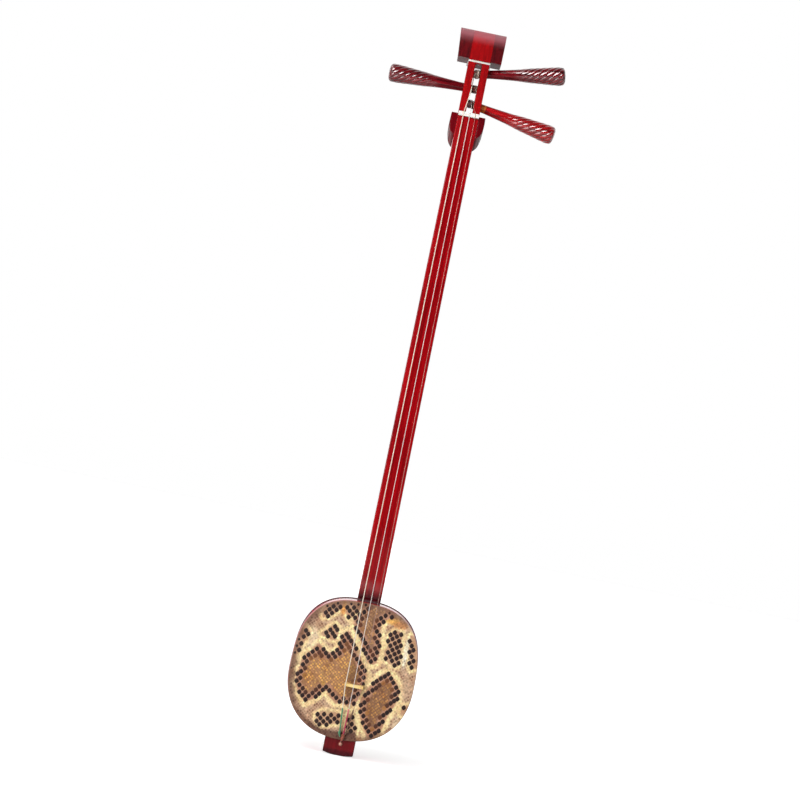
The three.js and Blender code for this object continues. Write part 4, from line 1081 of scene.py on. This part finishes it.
def below_bridge(name, z):
    """A string's place across the skin between the bridge and its silk's end."""
    return between(STRINGS[name]["bridge"], SILKS[name]["end"], (BRIDGE_Z - z) / (BRIDGE_Z - SILK_END))


def make_strings():
    """Each string as its turns on the peg and two lengths, which part on the bridge's crown."""
    half_crown = Vector((0, 0, BRIDGE_CROWN / 2))
    for name, string in STRINGS.items():
        radius, nut = string["radius"], string["nut"]
        path, bend = winding_path(name)
        winding = tube("wound_turns_" + name, path, [radius] * len(path), name)
        place_piece(winding, "nylon_string", "winding_" + name, body=name + "_peg")

        nut_y = NOTCH - NUT_PROUD - 0.1 - radius
        over = Vector((string["bridge"], SKIN_Y - SEAM - BRIDGE_HEIGHT + 0.2 - radius, BRIDGE_Z))
        upper = [
            path[0],
            bend,
            head_point(nut, nut_y, NUT_THICKNESS - NUT_ROUND / 2),
            head_point(nut, nut_y, NUT_ROUND / 2),
            over + half_crown,
            over,
        ]
        end = Vector((below_bridge(name, SILK_TOP), tail_line(SILK_TOP), SILK_TOP - 1))
        lower = [over, over - half_crown, end]
        upper, lower = resampled(rounded(upper, 1.2), 12), resampled(rounded(lower, 1.0), 4)
        start = head_point(nut, 0, 0)
        for part, path, bodies, ends in (
            ("speaking", upper, ("instrument", "bridge"), (start, over)),
            ("behind_bridge", lower, ("bridge", "instrument"), (over, end)),
        ):
            piece = tube("string_" + name + "_" + part, path, [radius] * len(path), name)
            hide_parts("string_" + name)
            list(bodies)
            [place / 1000 for place in ends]
            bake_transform(piece)


def make_silks():
    """The silk bound round each string's end, thinner at its ends. The low one has a knot."""
    knot_z = SILK_END - 2 * SILK_KNOT
    for name, ends in SILKS.items():
        x, z = ends["join"]
        places = [(below_bridge(name, SILK_TOP), SILK_TOP), (below_bridge(name, SILK_END), SILK_END)]
        places += [(ends["knot"], knot_z), (x, z)] if "knot" in ends else [(x, z)]
        path = resampled(rounded([Vector((x, tail_line(z), z)) for x, z in places], 1.5), 0.22)
        lengths = tube_rings(path, [1] * len(path), 8)[1]
        radii = []
        for point, length in zip(path, lengths):
            radius = SILK_RADIUS * (0.72 + 0.28 * ease(0, 2.5, length))
            if "knot" in ends:
                radius += (SILK_KNOT - SILK_RADIUS + 0.1) * math.exp(-(((point.z - knot_z - 2) / 2.0) ** 2))
            radius *= 1 + 0.055 * math.cos(2 * math.pi * length)
            radii.append(radius * (0.75 + 0.25 * ease(0, 1.5, lengths[-1] - length)))
        silk = tube("silk_binding_" + name, path, radii, ends["look"], 14)
        place_piece(silk, ends["look"] + "_silk", "silk_" + name)


def make_bridge():
    """Two feet with a round arch between them, and a notch in the crown for each string."""
    half, foot, arch = BRIDGE_WIDTH / 2, 0.24 * BRIDGE_WIDTH, 0.52 * BRIDGE_HEIGHT
    inner = half - foot
    shape = [(-half, 0), (-inner, 0)]
    shape += bend_curve((-inner, 0), (-inner, arch), (0, arch), 14)
    shape += bend_curve((0, arch), (inner, arch), (inner, 0), 14)
    shape += [(half, 0), (half, 0.6 * BRIDGE_HEIGHT), (half - 0.3, BRIDGE_HEIGHT)]
    for name in ("high", "middle", "low"):
        place, reach = STRINGS[name]["bridge"] - BRIDGE_X, STRINGS[name]["radius"] + 0.25
        for x, depth in ((reach, 0), (0.6 * reach, 0.28), (-0.6 * reach, 0.28), (-reach, 0)):
            shape.append((place + x, BRIDGE_HEIGHT - depth))
    shape += [(-half, BRIDGE_HEIGHT)]
    rings = []
    for sign in (1, -1):
        ring = []
        for x, height in shape:
            share = height / BRIDGE_HEIGHT
            y = SKIN_Y - GLUE_GAP - share * (BRIDGE_HEIGHT + SEAM - GLUE_GAP)
            z = BRIDGE_Z + sign * between(BRIDGE_FOOT, BRIDGE_CROWN, share) / 2
            ring.append(Vector((BRIDGE_X + x, y, z)))
        rings.append(ring)
    obj = lofted("bamboo_bridge", rings, "bamboo")
    bevel(obj, 0.25, angle=30)
    place_piece(obj, "bamboo", "bridge", body="bridge")


# ---------------------------------------------------------------- tail


def make_tail():
    """The tail block, fitted to the drum above and rounded below."""
    half, edge = TAIL_WIDTH / 2, TAIL_SIDE_ROUND
    corner = arc(edge - half, edge, edge, 180, 270, 4)
    columns = corner + [(edge - half + (TAIL_WIDTH - 2 * edge) * i / 24, 0) for i in range(1, 24)]
    columns += [(-x, inset) for x, inset in reversed(corner)]
    rings = []
    for x, inset in columns:
        sag = TAIL_SAG * curve_value(TAIL_CURVE, x / half) + inset
        front, back = inset - TAIL_REACH, TAIL_DEPTH - TAIL_REACH - inset
        top = [between(front, back, i / 8) for i in range(9)]
        ring = [Vector((x, y, drum_edge(x, y, False) - GLUE_GAP)) for y in top]
        under = arc(back - TAIL_BACK_ROUND, TAIL_BACK_ROUND, TAIL_BACK_ROUND, 0, -90, 8)
        under += arc(front + TAIL_FRONT_ROUND, TAIL_FRONT_ROUND, TAIL_FRONT_ROUND, -90, -180, 12)
        rings.append(ring + [Vector((x, y, sag + z)) for y, z in under])
    place_piece(lofted("tail_block_wood", rings, "tail", 40), "red_lacquer", "tail_block")


def make_pin():
    """A turned pin with a domed head, and room under the head for the cord."""
    shank = -TAIL_REACH - 2 * NOOSE - 2 * SEAM
    front = shank - PIN_HEAD_DEPTH
    profile = [
        (0.05, front - 0.1), (1.1, front - 0.05), (1.9, front + 0.1), (2.3, front + 0.4),
        (2.5, front + 0.9), (2.5, shank - 0.3), (2.3, shank), (PIN_RADIUS, shank + 0.1),
        (PIN_RADIUS, -TAIL_REACH + 4),
    ]
    rings = [[Vector((PIN_X + r * c, y, PIN_Z + r * s)) for c, s in circle(28)] for r, y in profile]
    place_piece(lofted("bone_tail_pin", rings, "pin", 45), "bone", "tail_pin")


def make_tail_cord():
    """Three twisted strands from the silks' knot over the drum's rim to a noose on the pin."""
    noose_y = -TAIL_REACH - SEAM - NOOSE
    # Each place: x, y, z and the cord's radius there
    route = [(2.4, 0, CORD_RADIUS), (2.4, 1, CORD_KNOT), (2.2, 2, CORD_KNOT), (1.8, 3, CORD_RADIUS)]
    route = [(x, CORD_TOP - knots * CORD_KNOT, radius) for x, knots, radius in route]
    route = [(x, tail_line(z), z, radius) for x, z, radius in route]
    route += [(PIN_X, -24.4, 26.9, 1.3), (PIN_X, -20.6, 25.3, 1.1)]
    route += [(PIN_X, noose_y, 24.4, 0.95), (PIN_X, noose_y, 23.0, NOOSE)]
    centre = [Vector(row[:3]) for row in route]
    points, widths = [], []
    for i in range(len(centre) - 1):
        p0, p1 = centre[max(i - 1, 0)], centre[i]
        p2, p3 = centre[i + 1], centre[min(i + 2, len(centre) - 1)]
        for k in range(10):
            t = k / 10
            points.append(0.5 * (2 * p1 + t * (p2 - p0) + t * t * (2 * p0 - 5 * p1 + 4 * p2 - p3)
                                 + t**3 * (3 * p1 - p0 - 3 * p2 + p3)))
            widths.append(between(route[i][3], route[i + 1][3], t))

    all_points, all_faces, along = [], [], []

    def take(rings, numbers, closed=False):
        new_points, new_faces = loft(rings, closed)
        offset = len(all_points)
        all_points.extend(new_points)
        all_faces.extend(tuple(index + offset for index in face) for face in new_faces)
        along.extend(numbers)

    sides = 10
    guides, lengths = tube_rings(points, [1] * len(points), 4)
    for strand in range(STRANDS):
        path = []
        for point, guide, width, length in zip(points, guides, widths, lengths):
            angle = 2 * math.pi * (strand / STRANDS + length / CORD_TWIST)
            across = math.cos(angle) * (guide[0] - point) + math.sin(angle) * (guide[1] - point)
            path.append(point + STRAND_OFFSET * width * across)
        rings, run = tube_rings(path, [STRAND_RADIUS * width for width in widths], sides)
        take(rings, [length for length in run for _ in range(sides)])

    radius, steps = PIN_RADIUS + SEAM + NOOSE, 40
    loop, numbers = [], []
    for i, (cosine, sine) in enumerate(circle(steps)):
        ring = [(radius + NOOSE * c, noose_y + NOOSE * s) for c, s in circle(sides)]
        loop.append([Vector((PIN_X + r * cosine, y, PIN_Z + r * sine)) for r, y in ring])
        numbers += [radius * 2 * math.pi * i / steps] * sides
    take(loop, numbers, closed=True)
    obj = make_object("twisted_tail_cord", all_points, all_faces, "cord", 60)
    set_numbers(obj, "along", along)
    place_piece(obj, "brown_silk", "tail_cord")


# ---------------------------------------------------------------- studio

# Each lamp: place, target, width and height, and power
LAMPS = {
    "front_lamp": ((-2.0, -3.0, 0.9), (0, 0, 0.55), 1.8, 80),
    "high_lamp": ((-1.2, -1.7, 2.8), (0, 0, 0.9), 0.9, 26),
    "fill_lamp": ((2.4, -2.4, 1.0), (0, 0, 0.6), 1.6, 14),
}
CAMERA_TARGET, CAMERA_DISTANCE, VIEW_WIDTH = (-0.0165, -0.0195, 0.596), 4.98, 1.31888
CAMERA_TURN, CAMERA_ROLL, SENSOR = math.radians(-0.8), math.radians(11.6), 36


def make_lamps():
    for name, (place, target, size, power) in LAMPS.items():
        lamp = bpy.data.lights.new(name, "AREA")
        lamp.shape = "RECTANGLE"
        lamp.size = lamp.size_y = size
        lamp.energy = power
        holder = bpy.data.objects.new(name, lamp)
        holder.location = place
        holder.rotation_euler = (Vector(target) - Vector(place)).to_track_quat("-Z", "Y").to_euler()
        bpy.context.scene.collection.objects.link(holder)


def make_world():
    """A white backdrop. Gloss sees it as white behind the object and as dimmer in front, dark near
    the floor's line, with one bright panel that draws the bars of light on the carved pegs."""
    world = bpy.data.worlds.new("studio")
    bpy.context.scene.world = world
    world.use_nodes = True
    nodes = Nodes(world.node_tree)
    nodes.tree.nodes.clear()
    path = nodes.add("LightPath").outputs
    ray = nodes.add("TexCoord").outputs["Generated"]
    aside, depth, height = nodes.add("SeparateXYZ", {0: ray}).outputs
    room = nodes.span(depth, -0.3, 0.6, 0.07, 1.5)
    corner = nodes.span(nodes.maths("ABSOLUTE", aside), 0.2, 0.35, 0.02, 0.7)
    skirting = nodes.maths("MAXIMUM", nodes.span(height, 0.15, 0.19, 0.02, 1), corner)
    panel = nodes.times(
        nodes.span(height, 0.46, 0.54, 0, 16), nodes.span(height, 0.78, 0.86, 1, 0),
        nodes.span(aside, -0.7, -0.58, 0, 1), nodes.span(aside, -0.22, -0.1, 1, 0),
        nodes.span(depth, -0.1, -0.3, 0, 1),
    )
    gloss = nodes.times(nodes.maths("MULTIPLY_ADD", room, skirting, panel), path["Is Glossy Ray"])
    seen = nodes.maths("MAXIMUM", path["Is Camera Ray"], path["Is Transmission Ray"])
    matt = nodes.times(nodes.maths("SUBTRACT", 1, path["Is Glossy Ray"]), 0.24)
    strength = nodes.maths("MAXIMUM", nodes.maths("MAXIMUM", seen, gloss), matt)
    light = nodes.add("Background", {"Color": (1, 1, 1, 1), "Strength": strength})
    nodes.add("OutputWorld", {"Surface": light.outputs[0]})


def make_floor():
    """White paper: it keeps the soft shadow near the object and is plain white further off."""
    mesh = bpy.data.meshes.new("floor")
    reach = 8.0
    corners = [(-reach, -reach, 0), (reach, -reach, 0), (reach, reach, 0), (-reach, reach, 0)]
    mesh.from_pydata(corners, [], [(0, 1, 2, 3)])
    floor = bpy.data.objects.new("floor", mesh)
    bpy.context.scene.collection.objects.link(floor)
    look = Look("floor_paper")
    path = look.add("LightPath").outputs
    far = look.add("VectorMath", {0: look.place}, operation="LENGTH").outputs["Value"]
    seen = look.maths("MAXIMUM", path["Is Camera Ray"], path["Is Transmission Ray"])
    seen = look.times(seen, look.span(far, 0.1, 0.5, 0.68, 1.0))
    gloss = look.times(look.span(far, 0.8, 2, 0.1, 1), look.span(far, 2.5, 4, 1, 0.12), path["Is Glossy Ray"])
    look.set(
        Base_Color=(0.8, 0.8, 0.8, 1), Roughness=0.9, Specular_IOR_Level=0.1,
        Emission_Color=(1, 1, 1, 1), Emission_Strength=look.maths("MAXIMUM", seen, gloss),
    )
    mesh.materials.append(look.material)


def make_camera():
    """The photograph's view: straight from the front, and rolled as the photograph is."""
    camera = bpy.data.cameras.new("photo_camera")
    camera.sensor_width = SENSOR
    camera.lens = SENSOR * CAMERA_DISTANCE / VIEW_WIDTH
    holder = bpy.data.objects.new("photo_camera", camera)
    back = Vector((math.sin(CAMERA_TURN), -math.cos(CAMERA_TURN), 0))
    holder.location = Vector(CAMERA_TARGET) + back * CAMERA_DISTANCE
    holder.rotation_mode = "QUATERNION"
    roll = Quaternion((0, 0, 1), CAMERA_ROLL)
    holder.rotation_quaternion = (-back).to_track_quat("-Z", "Y") @ roll
    bpy.context.scene.collection.objects.link(holder)
    bpy.context.scene.camera = holder
    bpy.context.scene.view_settings.view_transform = "Standard"


make_camera()
make_lamps()
make_world()
make_floor()
make_frame()
make_skins()
make_neck()
make_head_block()
make_wings()
make_trim()
make_nut()
make_shoulders()
make_peg("low", "peg")
make_peg("high", "peg")
make_peg("middle", "peg_bare")
make_strings()
make_silks()
make_bridge()
make_tail()
make_pin()
make_tail_cord()
